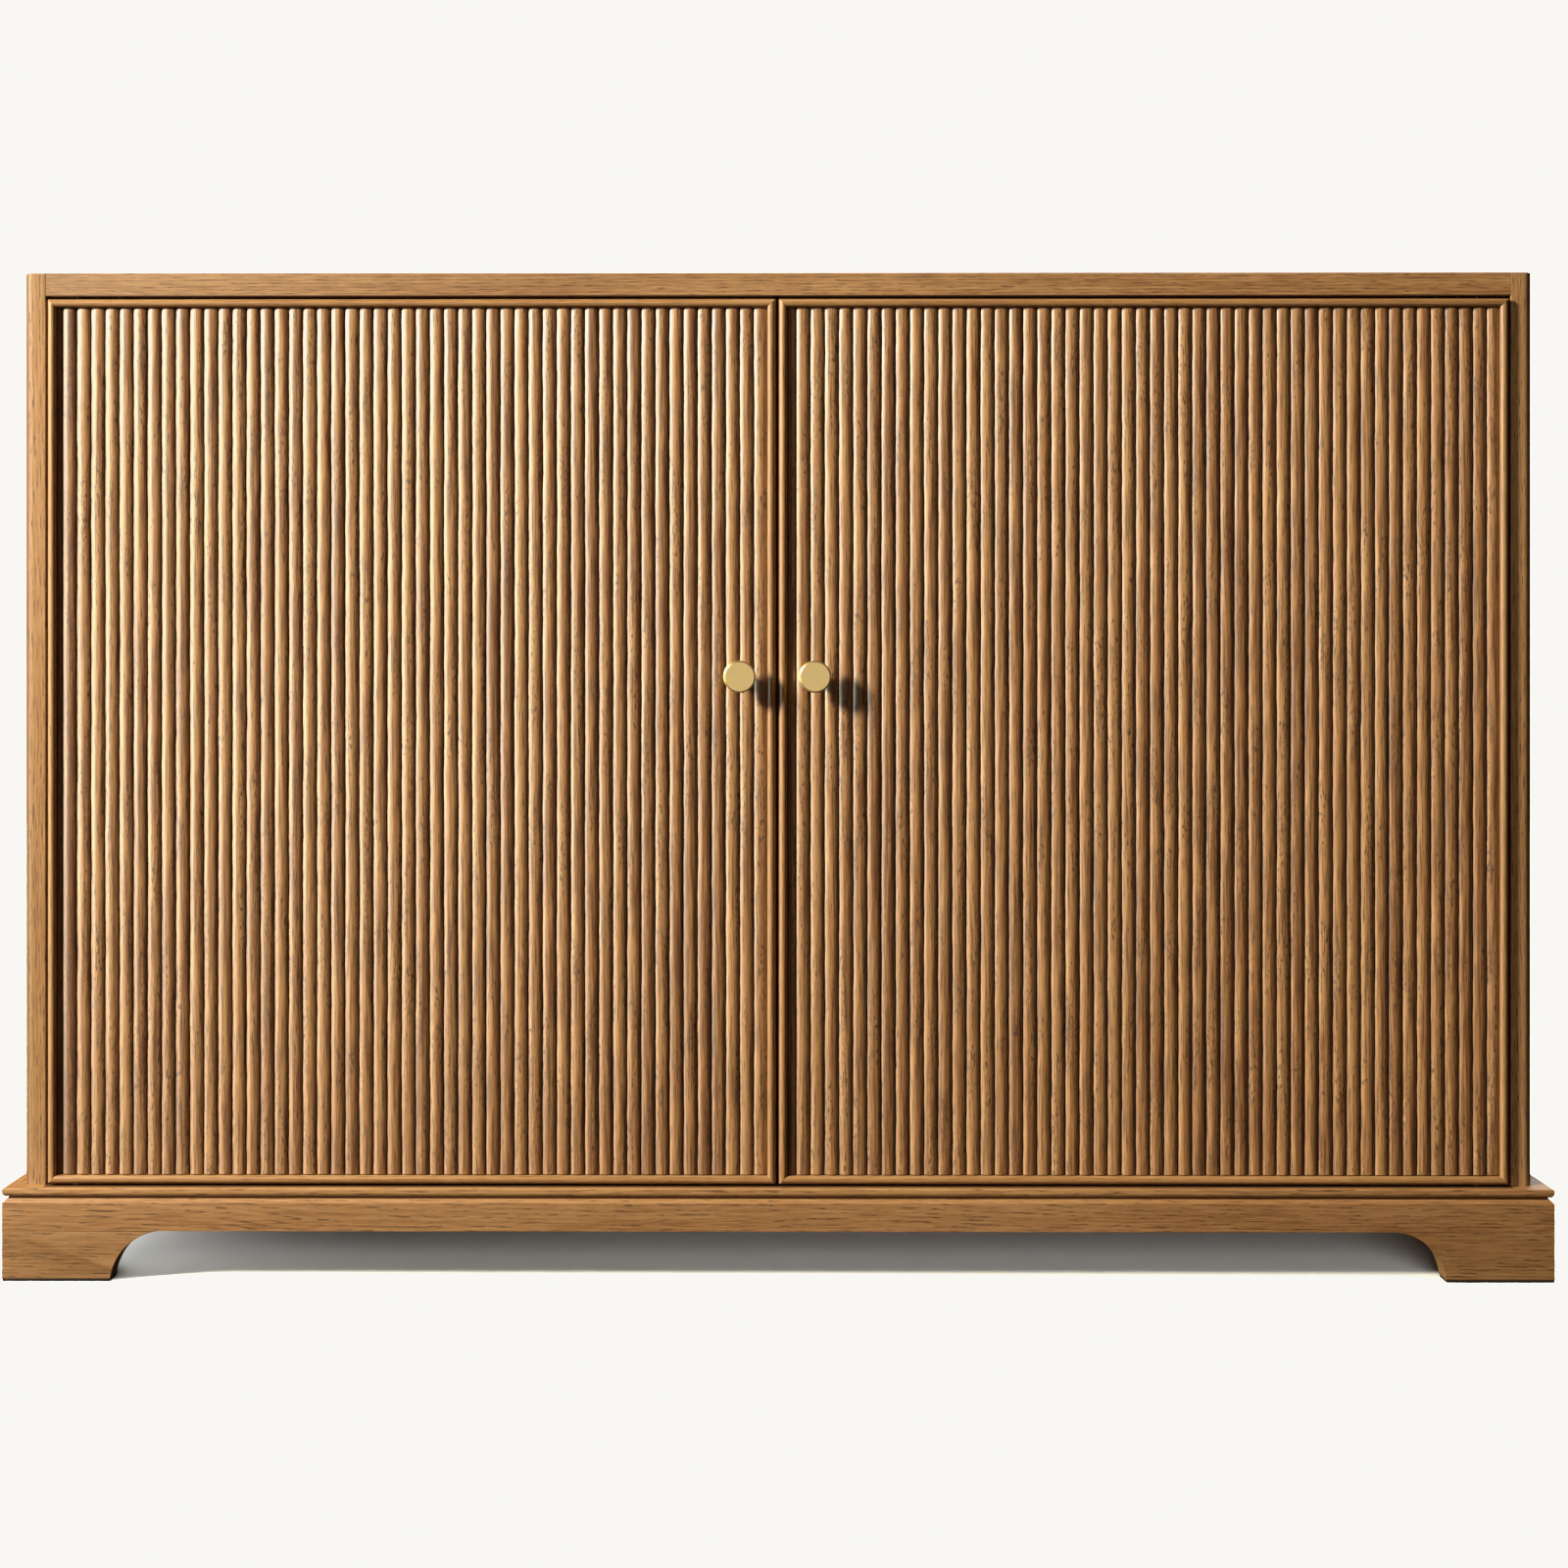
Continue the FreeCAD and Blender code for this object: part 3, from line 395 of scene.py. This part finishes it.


# Painted shade: darkening as a share between 0 and 1, painted where shade and shadow fall in the grooves,
# in the reveals round the doors, on a rounded corner and at the feet

WALL_FADE = (0.0, 0.3)
CORE_FADE = (0.0003, 0.001)
REVEAL_START = 0.0008
REVEAL_FADE = 0.0017
REVEAL_END = (0.016, 0.022)
REVEAL_SLACK = 0.0003
BEAD_SHADE = 0.003
LIP_FADE = (0.0008, 0.0016)
CORNER_OUTWARD = (-0.0070, -0.0035)
CORNER_BEHIND = (0.0030, 0.0065)
CORNER_DARKNESS = 0.6
FOOT_FADE = (0.0008, 0.0018)


def groove_wall(finish):
    """Painted shade down the side of a reed, by how far down it is."""
    return finish.remap(finish.attribute("painted_shade"), *WALL_FADE)


def groove_bottom(finish):
    """Painted shade on the front of a door's core, which shows at the bottom of the grooves."""
    behind = finish.math("SUBTRACT", finish.split(finish.place)[1], core_front)
    return finish.fade(behind, *CORE_FADE)


def reveal(finish, start=REVEAL_START):
    """Painted shade on the boards' edges round the doors, from the start behind the case's front to the
    doors' backs.
    """
    x, y, z = finish.split(finish.place)
    behind = finish.math("SUBTRACT", y, case_front)
    deep = finish.math("MULTIPLY", finish.remap(behind, start, start + REVEAL_FADE),
                       finish.fade(behind, *REVEAL_END))
    between = finish.math("LESS_THAN", finish.math("ABSOLUTE", x), opening_side + REVEAL_SLACK)
    below = finish.math("LESS_THAN", z, opening_top + REVEAL_SLACK)
    above = finish.math("GREATER_THAN", z, opening_bottom - REVEAL_SLACK)
    beside = finish.math("MULTIPLY", between, finish.math("MULTIPLY", below, above))
    return finish.math("MULTIPLY", deep, beside)


def reveal_under_bead(finish):
    """Painted shadow on the reveal of the base, which begins under the bead that stands out over it."""
    return reveal(finish, bead_front - case_front - BEAD_SHADE)


def reveal_and_lip(finish):
    """Painted shade in the reveal, and a painted shadow line along the lower edge of the top's front above
    the doors.
    """
    above = finish.math("SUBTRACT", finish.split(finish.place)[2], opening_top)
    return finish.math("MAXIMUM", reveal(finish), finish.fade(above, *LIP_FADE))


def reveal_and_corner(finish):
    """Painted shade in the reveal, and on the rounded front corner of a side, dimming the highlight there.
    """
    x, y = finish.split(finish.place)[:2]
    outward = finish.math("SUBTRACT", finish.math("ABSOLUTE", x), case_side)
    behind = finish.math("SUBTRACT", y, case_front)
    corner = finish.math("MULTIPLY", finish.remap(outward, *CORNER_OUTWARD),
                         finish.fade(behind, *CORNER_BEHIND))
    return finish.math("MAXIMUM", reveal(finish), finish.math("MULTIPLY", corner, CORNER_DARKNESS))


def foot_line(finish):
    """Painted shadow on the lowest edge of a foot, where it meets its pad."""
    above = finish.math("SUBTRACT", finish.split(finish.place)[2], foot_bottom)
    return finish.fade(above, *FOOT_FADE)


# Metal, plastic and rubber

LATHE_CELL = (0.00025, 0.00025, 1.0)
SCRATCH_CELL = (0.0005, 0.004, 0.0005)
METAL_CLOUD = 0.012
METAL_SHADE = 0.94
METAL_ROUGH_RANGE = 0.10
METAL_RELIEF = 0.00001
MOULDED_GRIT = 0.0004
MOULDED_CLOUD = 0.010
MOULDED_SHADE = 0.85
MOULDED_ROUGH_RANGE = 0.15
MOULDED_ROUGH_BELOW = 0.07
MOULDED_RELIEF = 0.00005
# Where clouds are darkest and where they are palest
CLOUD_STOPS = (0.3, 0.7)


def clouded(finish, dark, pale, cell, detail=2.0):
    """Soft clouds of two colours."""
    cloud = finish.noise(finish.place, cell, detail)
    finish.colour(finish.ramp(cloud, *zip(CLOUD_STOPS, (dark, pale))))


def metal(name, colour, rough, lathe_centre=None):
    """Satin metal with faint scratches, or with faint rings about a lathe centre."""
    finish = Finish(name, Metallic=1.0)
    if lathe_centre:
        x, y, z = finish.split(finish.place)
        from_x = finish.math("SUBTRACT", finish.math("ABSOLUTE", x), lathe_centre[0])
        from_z = finish.math("SUBTRACT", z, lathe_centre[1])
        marks = finish.noise(finish.join(finish.distance(from_x, from_z), y, 0.0), LATHE_CELL, detail=2.0)
    else:
        marks = finish.noise(finish.place, SCRATCH_CELL, detail=2.0)
    clouded(finish, tinted(colour, METAL_SHADE), colour, METAL_CLOUD, detail=3.0)
    finish.roughness(finish.math("ADD", finish.centred(marks, METAL_ROUGH_RANGE), rough))
    finish.bump(marks, METAL_RELIEF, strength=0.6)
    return finish.material


def moulded(name, colour, rough):
    """Moulded plastic or rubber with a fine grained skin."""
    finish = Finish(name, Specular_IOR_Level=0.4)
    grain = finish.noise(finish.place, MOULDED_GRIT, detail=2.0)
    clouded(finish, tinted(colour, MOULDED_SHADE), colour, MOULDED_CLOUD)
    finish.roughness(finish.math("MULTIPLY_ADD", grain, MOULDED_ROUGH_RANGE, rough - MOULDED_ROUGH_BELOW))
    finish.bump(grain, MOULDED_RELIEF, strength=0.7)
    return finish.material


# Tones of the boards, as shares of red, green and blue: most are a little greyer than the reeds
SIDE_TONE = (0.94, 1.08, 1.36)
TOP_TONE = (1.30, 1.52, 1.95)
BASE_TONE = (0.94, 1.00, 1.16)
FOOT_TONE = (0.86, 0.92, 1.05)
CAP_TONE = (1.15, 1.27, 1.48)
BEAD_TONE = (0.96, 1.06, 1.20)
# Painted shade along the top: darker towards its left end, against the key light's fall from left to right
TOP_PAINTED_FALLOFF = (0.70, 1.0)
OUTER_PLANK = 0.115

SIDE_LOOK = {"tone": SIDE_TONE, "plank": OUTER_PLANK, "painted_shade": reveal_and_corner, "coat": 0.0}
BEAD_LOOK = {"tone": BEAD_TONE, "open_pores": 0.6, "coat": 0.3}
INNER_LOOK = {"tone": 1.08, "plank": 0.14, "open_pores": 0.6}

# Where a finish takes a mask of painted shade, the wood is darkened there
finishes = {
    "left_side": oak("oak_left_side", upright, seed=3.1, **SIDE_LOOK),
    "right_side": oak("oak_right_side", upright, seed=3.6, **SIDE_LOOK),
    "top": oak("oak_top", lengthwise, pith=(0.02, 0.30), seed=1.7, tone=TOP_TONE, plank=OUTER_PLANK,
               painted_shade=reveal_and_lip, painted_falloff=TOP_PAINTED_FALLOFF),
    "base": oak("oak_base", mitred_rim, pith=(0.1, -0.05), seed=5.3, tone=CAP_TONE, painted_shade=reveal_under_bead),
    "rail": oak("oak_rail", lengthwise, pith=(-0.17, 0.10), seed=0.4, tone=BASE_TONE),
    "return": oak("oak_return", frontwise, pith=(0.1, 0.15), seed=2.2),
    "foot": oak("oak_foot", mitred_foot, pith=(0.05, 0.30), seed=8.6, tone=FOOT_TONE, painted_shade=foot_line),
    "bead_upright": oak("oak_bead_upright", upright, seed=4.4, **BEAD_LOOK),
    "bead_length": oak("oak_bead_length", lengthwise, pith=(0.0, 0.4), seed=6.1, **BEAD_LOOK),
    "reed": oak("oak_reed", upright, seed=7.7, depth=0.00006, luck_from="reed", pits=1.0, painted_shade=groove_wall,
                fibre_width=0.0026, contrast=1.5, coat=0.85),
    "core": oak("oak_core", upright, seed=9.6, painted_shade=groove_bottom, **INNER_LOOK),
    "inside_upright": oak("oak_inside_upright", upright, seed=9.2, **INNER_LOOK),
    "inside_length": oak("oak_inside_length", lengthwise, seed=9.9, **INNER_LOOK),
    "block": oak("plain_hardwood", upright, seed=12.0, tone=1.3, open_pores=0.25),
    "brass": metal("satin_brass", (0.76, 0.54, 0.230), rough=0.38, lathe_centre=knob_centre),
    "steel": metal("plated_steel", (0.56, 0.55, 0.53), rough=0.38),
    "bronze": metal("dark_bronze", (0.07, 0.05, 0.04), rough=0.45),
    "catch": moulded("catch_plastic", (0.10, 0.06, 0.035), rough=0.5),
    "glide": moulded("glide_plastic", (0.012, 0.012, 0.012), rough=0.6),
    "rubber": moulded("bumper_rubber", (0.50, 0.49, 0.45), rough=0.55),
}

# Which finish each node has, by the end of its name
FINISH_BY_ENDING = [
    ("left_side", "left_side"),
    ("right_side", "right_side"),
    ("top_panel", "top"),
    ("bottom_board", "base"),
    ("front_rail", "rail"),
    ("back_rail", "rail"),
    ("_rail", "return"),
    ("_foot", "foot"),
    ("door_left_bead", "bead_upright"),
    ("door_right_bead", "bead_upright"),
    ("_bead", "bead_length"),
    ("_reeds", "reed"),
    ("_core", "core"),
    ("back_panel", "inside_upright"),
    ("centre_divider", "inside_upright"),
    ("_shelf", "inside_length"),
    ("corner_blocks", "block"),
    ("centre_bearer", "block"),
    ("case_dowels", "block"),
    ("_knob", "brass"),
    ("pivot_plates", "bronze"),
    ("pivot_pins", "bronze"),
    ("washers", "catch"),
    ("_catch", "catch"),
    ("glides", "glide"),
    ("bumpers", "rubber"),
    ("", "steel"),
]


def give(piece, material):
    piece.data.materials.clear()
    piece.data.materials.append(material)


for name, piece in nodes.items():
    key = next(key for ending, key in FINISH_BY_ENDING if name.endswith(ending))
    give(piece, finishes[key])


# New pieces, each with the finish and the body of a node of the frame

SMOOTH_TURN = math.radians(20)


def added(name, data):
    """A new object in the scene."""
    made = bpy.data.objects.new(name, data)
    bpy.context.scene.collection.objects.link(made)
    return made


def dressed(mesh, node):
    """A piece made of the mesh, with the node's finish and body."""
    piece = added(mesh.name, mesh)
    give(piece, nodes[node].data.materials[0])
    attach(piece, body_of_node[node])
    return piece


def smoothed(mesh):
    mesh.shade_smooth()
    mesh.set_sharp_from_angle(angle=SMOOTH_TURN)


def stacked_faces(start, ring, rows):
    """Faces round rings of points, one ring after the other from the start on, closed at both ends."""
    faces = []
    for row in range(rows):
        here, above = start + row * ring, start + (row + 1) * ring
        for side in range(ring):
            after = (side + 1) % ring
            faces.append((here + side, here + after, above + after, above + side))
    faces.append(tuple(reversed(range(start, start + ring))))
    faces.append(tuple(range(start + rows * ring, start + (rows + 1) * ring)))
    return faces


# Boards with sharp edges get them eased, apart from the thin edges of mitres

EASED_ENDINGS = ("_side", "top_panel", "_rail", "_foot", "_shelf", "centre_divider", "_core")
EDGE_EASE = 0.0006
LEAST_TURN = math.radians(40)
MOST_TURN = math.radians(120)
WELD = 0.00001


def eased(name):
    """A copy of a node with its sharp edges rounded over, in the node's place."""
    shape = bmesh.new()
    shape.from_mesh(nodes[name].data)
    bmesh.ops.remove_doubles(shape, verts=shape.verts, dist=WELD)
    edges = [e for e in shape.edges if e.is_manifold and LEAST_TURN < e.calc_face_angle() < MOST_TURN]
    bmesh.ops.bevel(shape, geom=edges, offset=EDGE_EASE, segments=2, profile=0.5, affect="EDGES",
                    clamp_overlap=True)
    low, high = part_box(name)
    for point in shape.verts:
        point.co = [min(max(at, least), most) for at, least, most in zip(point.co, low, high)]
    mesh = bpy.data.meshes.new(f"{name}_eased")
    shape.to_mesh(mesh)
    shape.free()
    smoothed(mesh)
    piece = dressed(mesh, name)
    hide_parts(name)
    return piece


boards = {name: eased(name) for name in sorted(nodes) if name.endswith(EASED_ENDINGS)}


# Knobs: turned, with a flat face, a fine step round it and a stem that flares to the rim

KNOB_SIDES = 72
# Radius and distance behind the front, from the flat face over its rounded edge to the step
KNOB_FACE = [
    (0.0126, 0.0),
    (0.0131, 0.0),
    (0.0134, 0.0002),
    (0.0137, 0.0007),
    (0.0138, 0.0011),
    (0.0142, 0.0012),
    (0.0144, 0.0013),
]
RIM_FRONT = 0.0014
RIM_BACK = 0.0060
STEM_RADIUS = 0.0065
FLARE_LENGTH = 0.0040
FLARE_STEPS = 6
# How far in from the rim's edge, and how far behind it, the flare begins
FLARE_IN = 0.0004
FLARE_BEHIND = 0.0003


def knob(name):
    """A smooth turned knob in place of the plain one."""
    low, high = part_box(name)
    centre = (low + high) / 2
    radius = (high.x - low.x) / 2
    outline = KNOB_FACE + [(radius, RIM_FRONT), (radius, RIM_BACK)]
    for step in range(FLARE_STEPS + 1):
        turn = step / FLARE_STEPS * math.pi / 2
        outline.append((STEM_RADIUS + (radius - FLARE_IN - STEM_RADIUS) * (1 - math.sin(turn)),
                        RIM_BACK + FLARE_BEHIND + FLARE_LENGTH * (1 - math.cos(turn))))
    outline.append((STEM_RADIUS, high.y - low.y))
    turns = [-2 * math.pi * side / KNOB_SIDES for side in range(KNOB_SIDES)]
    points = [(centre.x + out * math.cos(turn), low.y + behind, centre.z + out * math.sin(turn))
              for out, behind in outline for turn in turns]
    mesh = bpy.data.meshes.new(f"{name}_turned")
    mesh.from_pydata(points, [], stacked_faces(0, KNOB_SIDES, len(outline) - 1))
    smoothed(mesh)
    piece = dressed(mesh, name)
    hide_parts(name)
    return piece


knobs = [knob(name) for name in ("left_knob", "right_knob")]


# Pads: thin and near black, glued under the feet; their dark line on the floor also stands in for the
# shadow under the feet

PAD_LENGTH = 0.098
PAD_WIDTH = 0.021
PAD_INSET = 0.0004
PAD_EASE = 0.0005


def pad_outline(inset):
    """The corners of a pad's two arms, measured from the corner of the base."""
    far, wide = PAD_LENGTH - inset, PAD_WIDTH - inset
    return [(inset, inset), (far, inset), (far, wide), (wide, wide), (wide, far), (inset, far)]


def pads():
    """The pads of all four feet as one piece."""
    levels = ((0.0, PAD_INSET + PAD_EASE), (PAD_EASE, PAD_INSET), (foot_bottom, PAD_INSET))
    shape = bmesh.new()
    for corner_x, way_x in ((base_low.x, 1), (base_high.x, -1)):
        for corner_y, way_y in ((base_low.y, 1), (base_high.y, -1)):
            rings = []
            for height, inset in levels:
                rings.append([shape.verts.new((corner_x + way_x * along, corner_y + way_y * across, height))
                              for along, across in pad_outline(inset)])
            shape.faces.new(rings[0])
            shape.faces.new(rings[-1])
            for low, high in zip(rings, rings[1:]):
                for side in range(len(low)):
                    shape.faces.new((low[side - 1], low[side], high[side], high[side - 1]))
    bmesh.ops.recalc_face_normals(shape, faces=shape.faces)
    mesh = bpy.data.meshes.new("foot_pads")
    shape.to_mesh(mesh)
    shape.free()
    dressed(mesh, "glides")


pads()


# Reeds: strips with round fronts, whose grooves wander a little, as those of strips worked by hand do

REED_PITCH = 0.0128
REED_GAP = 0.0013
REED_SHOULDER = 0.0026
REED_ARC_STEPS = 10
# The points of the arc, and one at the back of each side
REED_RING = REED_ARC_STEPS + 3
REED_ROW = 0.006
REED_SPLIT = math.radians(25)
# The cut-off reed at the left of each door is flatter, and darkened with painted shadow from the bead
# beside it
NARROW_ROUND = 0.18
NARROW_PAINTED_SHADE = 0.16
# The first whole reed of the left door is dark
DARK_STRIP = -0.8
# How far grooves and crests wander, and the lengths of the waves in which they do
GROOVE_WANDER = 0.00022
GROOVE_WAVES = (0.02, 0.05, 0.11, 0.3)
CREST_WANDER = 0.00008
CREST_WAVES = (0.07, 0.16)
WAVE_SPREAD = (0.7, 1.4)
# How far the grooves drift from even places along each door: at the left, by share, and by share squared
REED_DRIFT = {"left_door": (-0.0017, 0.0036, -0.0018), "right_door": (0.0013, 0.0054, -0.0060)}


def wander(rng, places, size, waves):
    """A smooth random line over the places: a sum of waves with about the given lengths."""
    line = np.zeros(len(places))
    for length in waves:
        line += np.sin(2 * math.pi * (places / (length * rng.uniform(*WAVE_SPREAD)) + rng.random()))
    return size * line / math.sqrt(len(waves))


def groove_lines(door, rng, heights):
    """The grooves of a door from left to right, each as its place at every height."""
    low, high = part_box(f"{door}_reeds")
    count = int((high.x - low.x) / REED_PITCH)
    first = high.x + REED_GAP / 2 - count * REED_PITCH
    start, lean, bow = REED_DRIFT[door]
    lines = [np.full(len(heights), low.x - REED_GAP / 2)]
    for number in range(count + 1):
        line = np.full(len(heights), first + number * REED_PITCH)
        share = number / count
        if number < count:
            line += start + lean * share + bow * share ** 2
        if 0 < number < count:
            line += wander(rng, heights, GROOVE_WANDER, GROOVE_WAVES)
        lines.append(line)
    return lines


def arc_section(rise):
    """Shares of the width and heights of a reed's outline, from its left foot to its right one."""
    half = 0.5
    radius = (half ** 2 + rise ** 2) / (2 * rise)
    spread = math.asin(min(1.0, half / radius))
    if rise > half:
        spread = math.pi - spread
    turns = np.linspace(-spread, spread, REED_ARC_STEPS + 1)
    return half + radius * np.sin(turns), rise - radius * (1 - np.cos(turns))


def reed_points(left, width, heights, back, rise, lift):
    """Rings of points up one reed, each from its back at the left over the crest to the right."""
    mean_width = float(width.mean())
    shares, arc = arc_section(rise / mean_width)
    points = []
    for row, z in enumerate(heights):
        points.append((left[row], back, z))
        growth = 1 + min(0.0, lift[row]) / rise
        for share, height in zip(shares, arc * mean_width):
            points.append((left[row] + share * width[row], back - REED_SHOULDER - height * growth, z))
        points.append((left[row] + width[row], back, z))
    return points


def reeds(door, rng):
    """All the reeds of one door as one piece, in place of the plain ones."""
    node = f"{door}_reeds"
    low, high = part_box(node)
    rows = round((high.z - low.z) / REED_ROW)
    heights = np.linspace(low.z, high.z, rows + 1)
    grooves = groove_lines(door, rng, heights)
    points, faces, tints, painted_shades = [], [], [], []
    for left, right in zip(grooves, grooves[1:]):
        width = right - left - REED_GAP
        mean_width = float(width.mean())
        whole = mean_width > REED_PITCH / 2 + REED_GAP
        rise = high.y - low.y - REED_SHOULDER if whole else NARROW_ROUND * mean_width
        lift = wander(rng, heights, CREST_WANDER, CREST_WAVES) - CREST_WANDER
        tint = rng.random()
        if door == "left_door" and left is grooves[1]:
            tint = DARK_STRIP
        # The cut-off reed's crest gets painted shadow
        crest_shade = 0.0 if whole else NARROW_PAINTED_SHADE
        faces += stacked_faces(len(points), REED_RING, rows)
        points += reed_points(left + REED_GAP / 2, width, heights, high.y, rise, lift)
        tints += [tint] * (REED_RING * (rows + 1))
        # Painted shade: full at the back of each reed's sides, and partial on the crest of the cut-off reed
        painted_shades += [1.0, *[crest_shade] * (REED_RING - 2), 1.0] * (rows + 1)
    mesh = bpy.data.meshes.new(f"{door}_reed_strips")
    mesh.from_pydata(points, [], faces)
    mesh.attributes.new("reed", "FLOAT", "POINT").data.foreach_set("value", tints)
    mesh.attributes.new("painted_shade", "FLOAT", "POINT").data.foreach_set("value", painted_shades)
    mesh.shade_smooth()
    piece = dressed(mesh, node)
    piece.modifiers.new("sharp", "EDGE_SPLIT").split_angle = REED_SPLIT
    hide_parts(node)


generator = np.random.default_rng(SEED)
for door in ("left_door", "right_door"):
    reeds(door, generator)


# The stage: a pale floor with lamps of its own, an even pale surround, and the lamps round the object

FLOOR_HALF = 6.0
FLOOR_DARK = (0.84, 0.84, 0.825)
FLOOR_PALE = (0.86, 0.86, 0.845)
FLOOR_CLOUD = 0.8
BACKGROUND = (0.939, 0.931, 0.896)
SEEN_STRENGTH = 3.0
AMBIENT = 0.03

KEY_COLOUR = (1.0, 0.97, 0.82)
FILL_COLOUR = (1.0, 0.76, 0.58)
PLAIN_WHITE = (1.0, 1.0, 1.0)
# The key and the sheen stand far to the left
KEY_X = -3.4
KEY_AHEAD = 1.75
# The soft lamps stand in front
SOFT_AHEAD = 3.0
SOFT_SIZE = (2.6, 2.2)
# The back lamp stands behind, to the right
BACK_PLACE = (1.6, 2.6, 2.4)


def floor():
    mesh = bpy.data.meshes.new("floor")
    corners = [(x * FLOOR_HALF, y * FLOOR_HALF, 0.0) for x, y in ((-1, -1), (1, -1), (1, 1), (-1, 1))]
    mesh.from_pydata(corners, [], [(0, 1, 2, 3)])
    piece = added("floor", mesh)
    finish = Finish("pale_floor", Roughness=0.9, Specular_IOR_Level=0.1)
    clouded(finish, FLOOR_DARK, FLOOR_PALE, FLOOR_CLOUD)
    give(piece, finish.material)
    piece.visible_diffuse = False
    piece.visible_glossy = False
    return piece


def ahead(x, distance, z):
    """A place at the distance in front of the case."""
    return (x, case_front - distance, z)


def turned(lamp, aim):
    """The lamp, turned to shine along the aim."""
    lamp.rotation_euler = aim.to_track_quat("-Z", "Y").to_euler()
    return lamp


def area_light(name, place, size, power, colour):
    """A lamp turned to the middle of the object."""
    data = bpy.data.lights.new(name, "AREA")
    data.shape = "RECTANGLE"
    data.size, data.size_y = size
    data.energy = power
    data.color = colour
    lamp = turned(added(name, data), middle - Vector(place))
    lamp.location = place
    lamp.visible_camera = False
    return lamp


def shine_only_on(lamp, pieces):
    lit = bpy.data.collections.new(lamp.name)
    for piece in pieces:
        lit.objects.link(piece)
    lamp.light_linking.receiver_collection = lit


def shine_past(lamp, pieces):
    """The pieces cast no shadow in this light."""
    passed = bpy.data.collections.new(f"{lamp.name}_passes")
    for piece in pieces:
        passed.objects.link(piece)
    for member in passed.collection_objects:
        member.light_linking.link_state = "EXCLUDE"
    lamp.light_linking.blocker_collection = passed


def floor_light(name, direction, spread, strength):
    """Even light that falls on the floor alone, so that the floor is as pale as in the photograph."""
    data = bpy.data.lights.new(name, "SUN")
    data.angle = math.radians(spread)
    data.energy = strength
    shine_only_on(turned(added(name, data), Vector(direction)), [ground])


def grade():
    """Plain colours, with white a little below full, as in the photograph."""
    settings = bpy.context.scene.view_settings
    settings.view_transform = "Standard"
    settings.use_curve_mapping = True
    mapping = settings.curve_mapping
    mapping.extend = "HORIZONTAL"
    for curve, white in zip(mapping.curves, BACKGROUND):
        curve.points[1].location = (1.0, white)
    mapping.update()


def surround():
    """A pale background for the camera, and a faint warm light for everything else."""
    world = bpy.data.worlds.new("surround")
    bpy.context.scene.world = world
    world.use_nodes = True
    tree = world.node_tree
    tree.nodes.clear()
    paths = tree.nodes.new("ShaderNodeLightPath")
    seen = tree.nodes.new("ShaderNodeBackground")
    seen.inputs["Strength"].default_value = SEEN_STRENGTH
    lit = tree.nodes.new("ShaderNodeBackground")
    lit.inputs["Color"].default_value = (*FILL_COLOUR, 1.0)
    lit.inputs["Strength"].default_value = AMBIENT
    either = tree.nodes.new("ShaderNodeMixShader")
    output = tree.nodes.new("ShaderNodeOutputWorld")
    tree.links.new(paths.outputs["Is Camera Ray"], either.inputs[0])
    tree.links.new(lit.outputs[0], either.inputs[1])
    tree.links.new(seen.outputs[0], either.inputs[2])
    tree.links.new(either.outputs[0], output.inputs[0])


def camera():
    data = bpy.data.cameras.new("camera")
    data.sensor_width = SENSOR_WIDTH
    data.lens = SENSOR_WIDTH * FOCAL_PIXELS / PHOTO_SIDE
    data.shift_x = 0.5 - AXIS_PIXEL[0] / PHOTO_SIDE
    data.shift_y = AXIS_PIXEL[1] / PHOTO_SIDE - 0.5
    piece = added("camera", data)
    piece.location = (0.0, base_low.y - CAMERA_DISTANCE, CAMERA_HEIGHT)
    piece.rotation_euler = (math.pi / 2, 0.0, CAMERA_TURN)
    bpy.context.scene.camera = piece


ground = floor()
surround()
camera()

area_light("key", ahead(KEY_X, KEY_AHEAD, z=2.4), size=(0.5, 0.8), power=485.0, colour=KEY_COLOUR)

side_fill = area_light("side_fill", ahead(0.6, SOFT_AHEAD, z=0.6), SOFT_SIZE, power=15.0, colour=KEY_COLOUR)
side_fill.visible_glossy = False
shine_only_on(side_fill, [boards["right_side"]])

sheen = area_light("sheen", ahead(KEY_X, KEY_AHEAD, z=0.3), size=(0.6, 0.5), power=72.0, colour=KEY_COLOUR)
sheen.visible_diffuse = False
shine_past(sheen, knobs)

fill = area_light("fill", ahead(-0.6, SOFT_AHEAD, z=1.9), SOFT_SIZE, power=13.0, colour=FILL_COLOUR)
fill.visible_glossy = False

panel = area_light("panel", ahead(-0.3, SOFT_AHEAD, z=0.6), size=(3.0, 3.0), power=26.5, colour=PLAIN_WHITE)
shine_only_on(panel, knobs)

area_light("back", BACK_PLACE, size=(2.0, 1.5), power=60.0, colour=PLAIN_WHITE)

floor_light("overhead", (0.0, 0.0, -1.0), spread=60.0, strength=18.5)
floor_light("under_left", (0.74, -0.62, -0.27), spread=25.0, strength=9.0)
floor_light("under_front", (0.0, 0.98, -0.21), spread=30.0, strength=3.0)
grade()
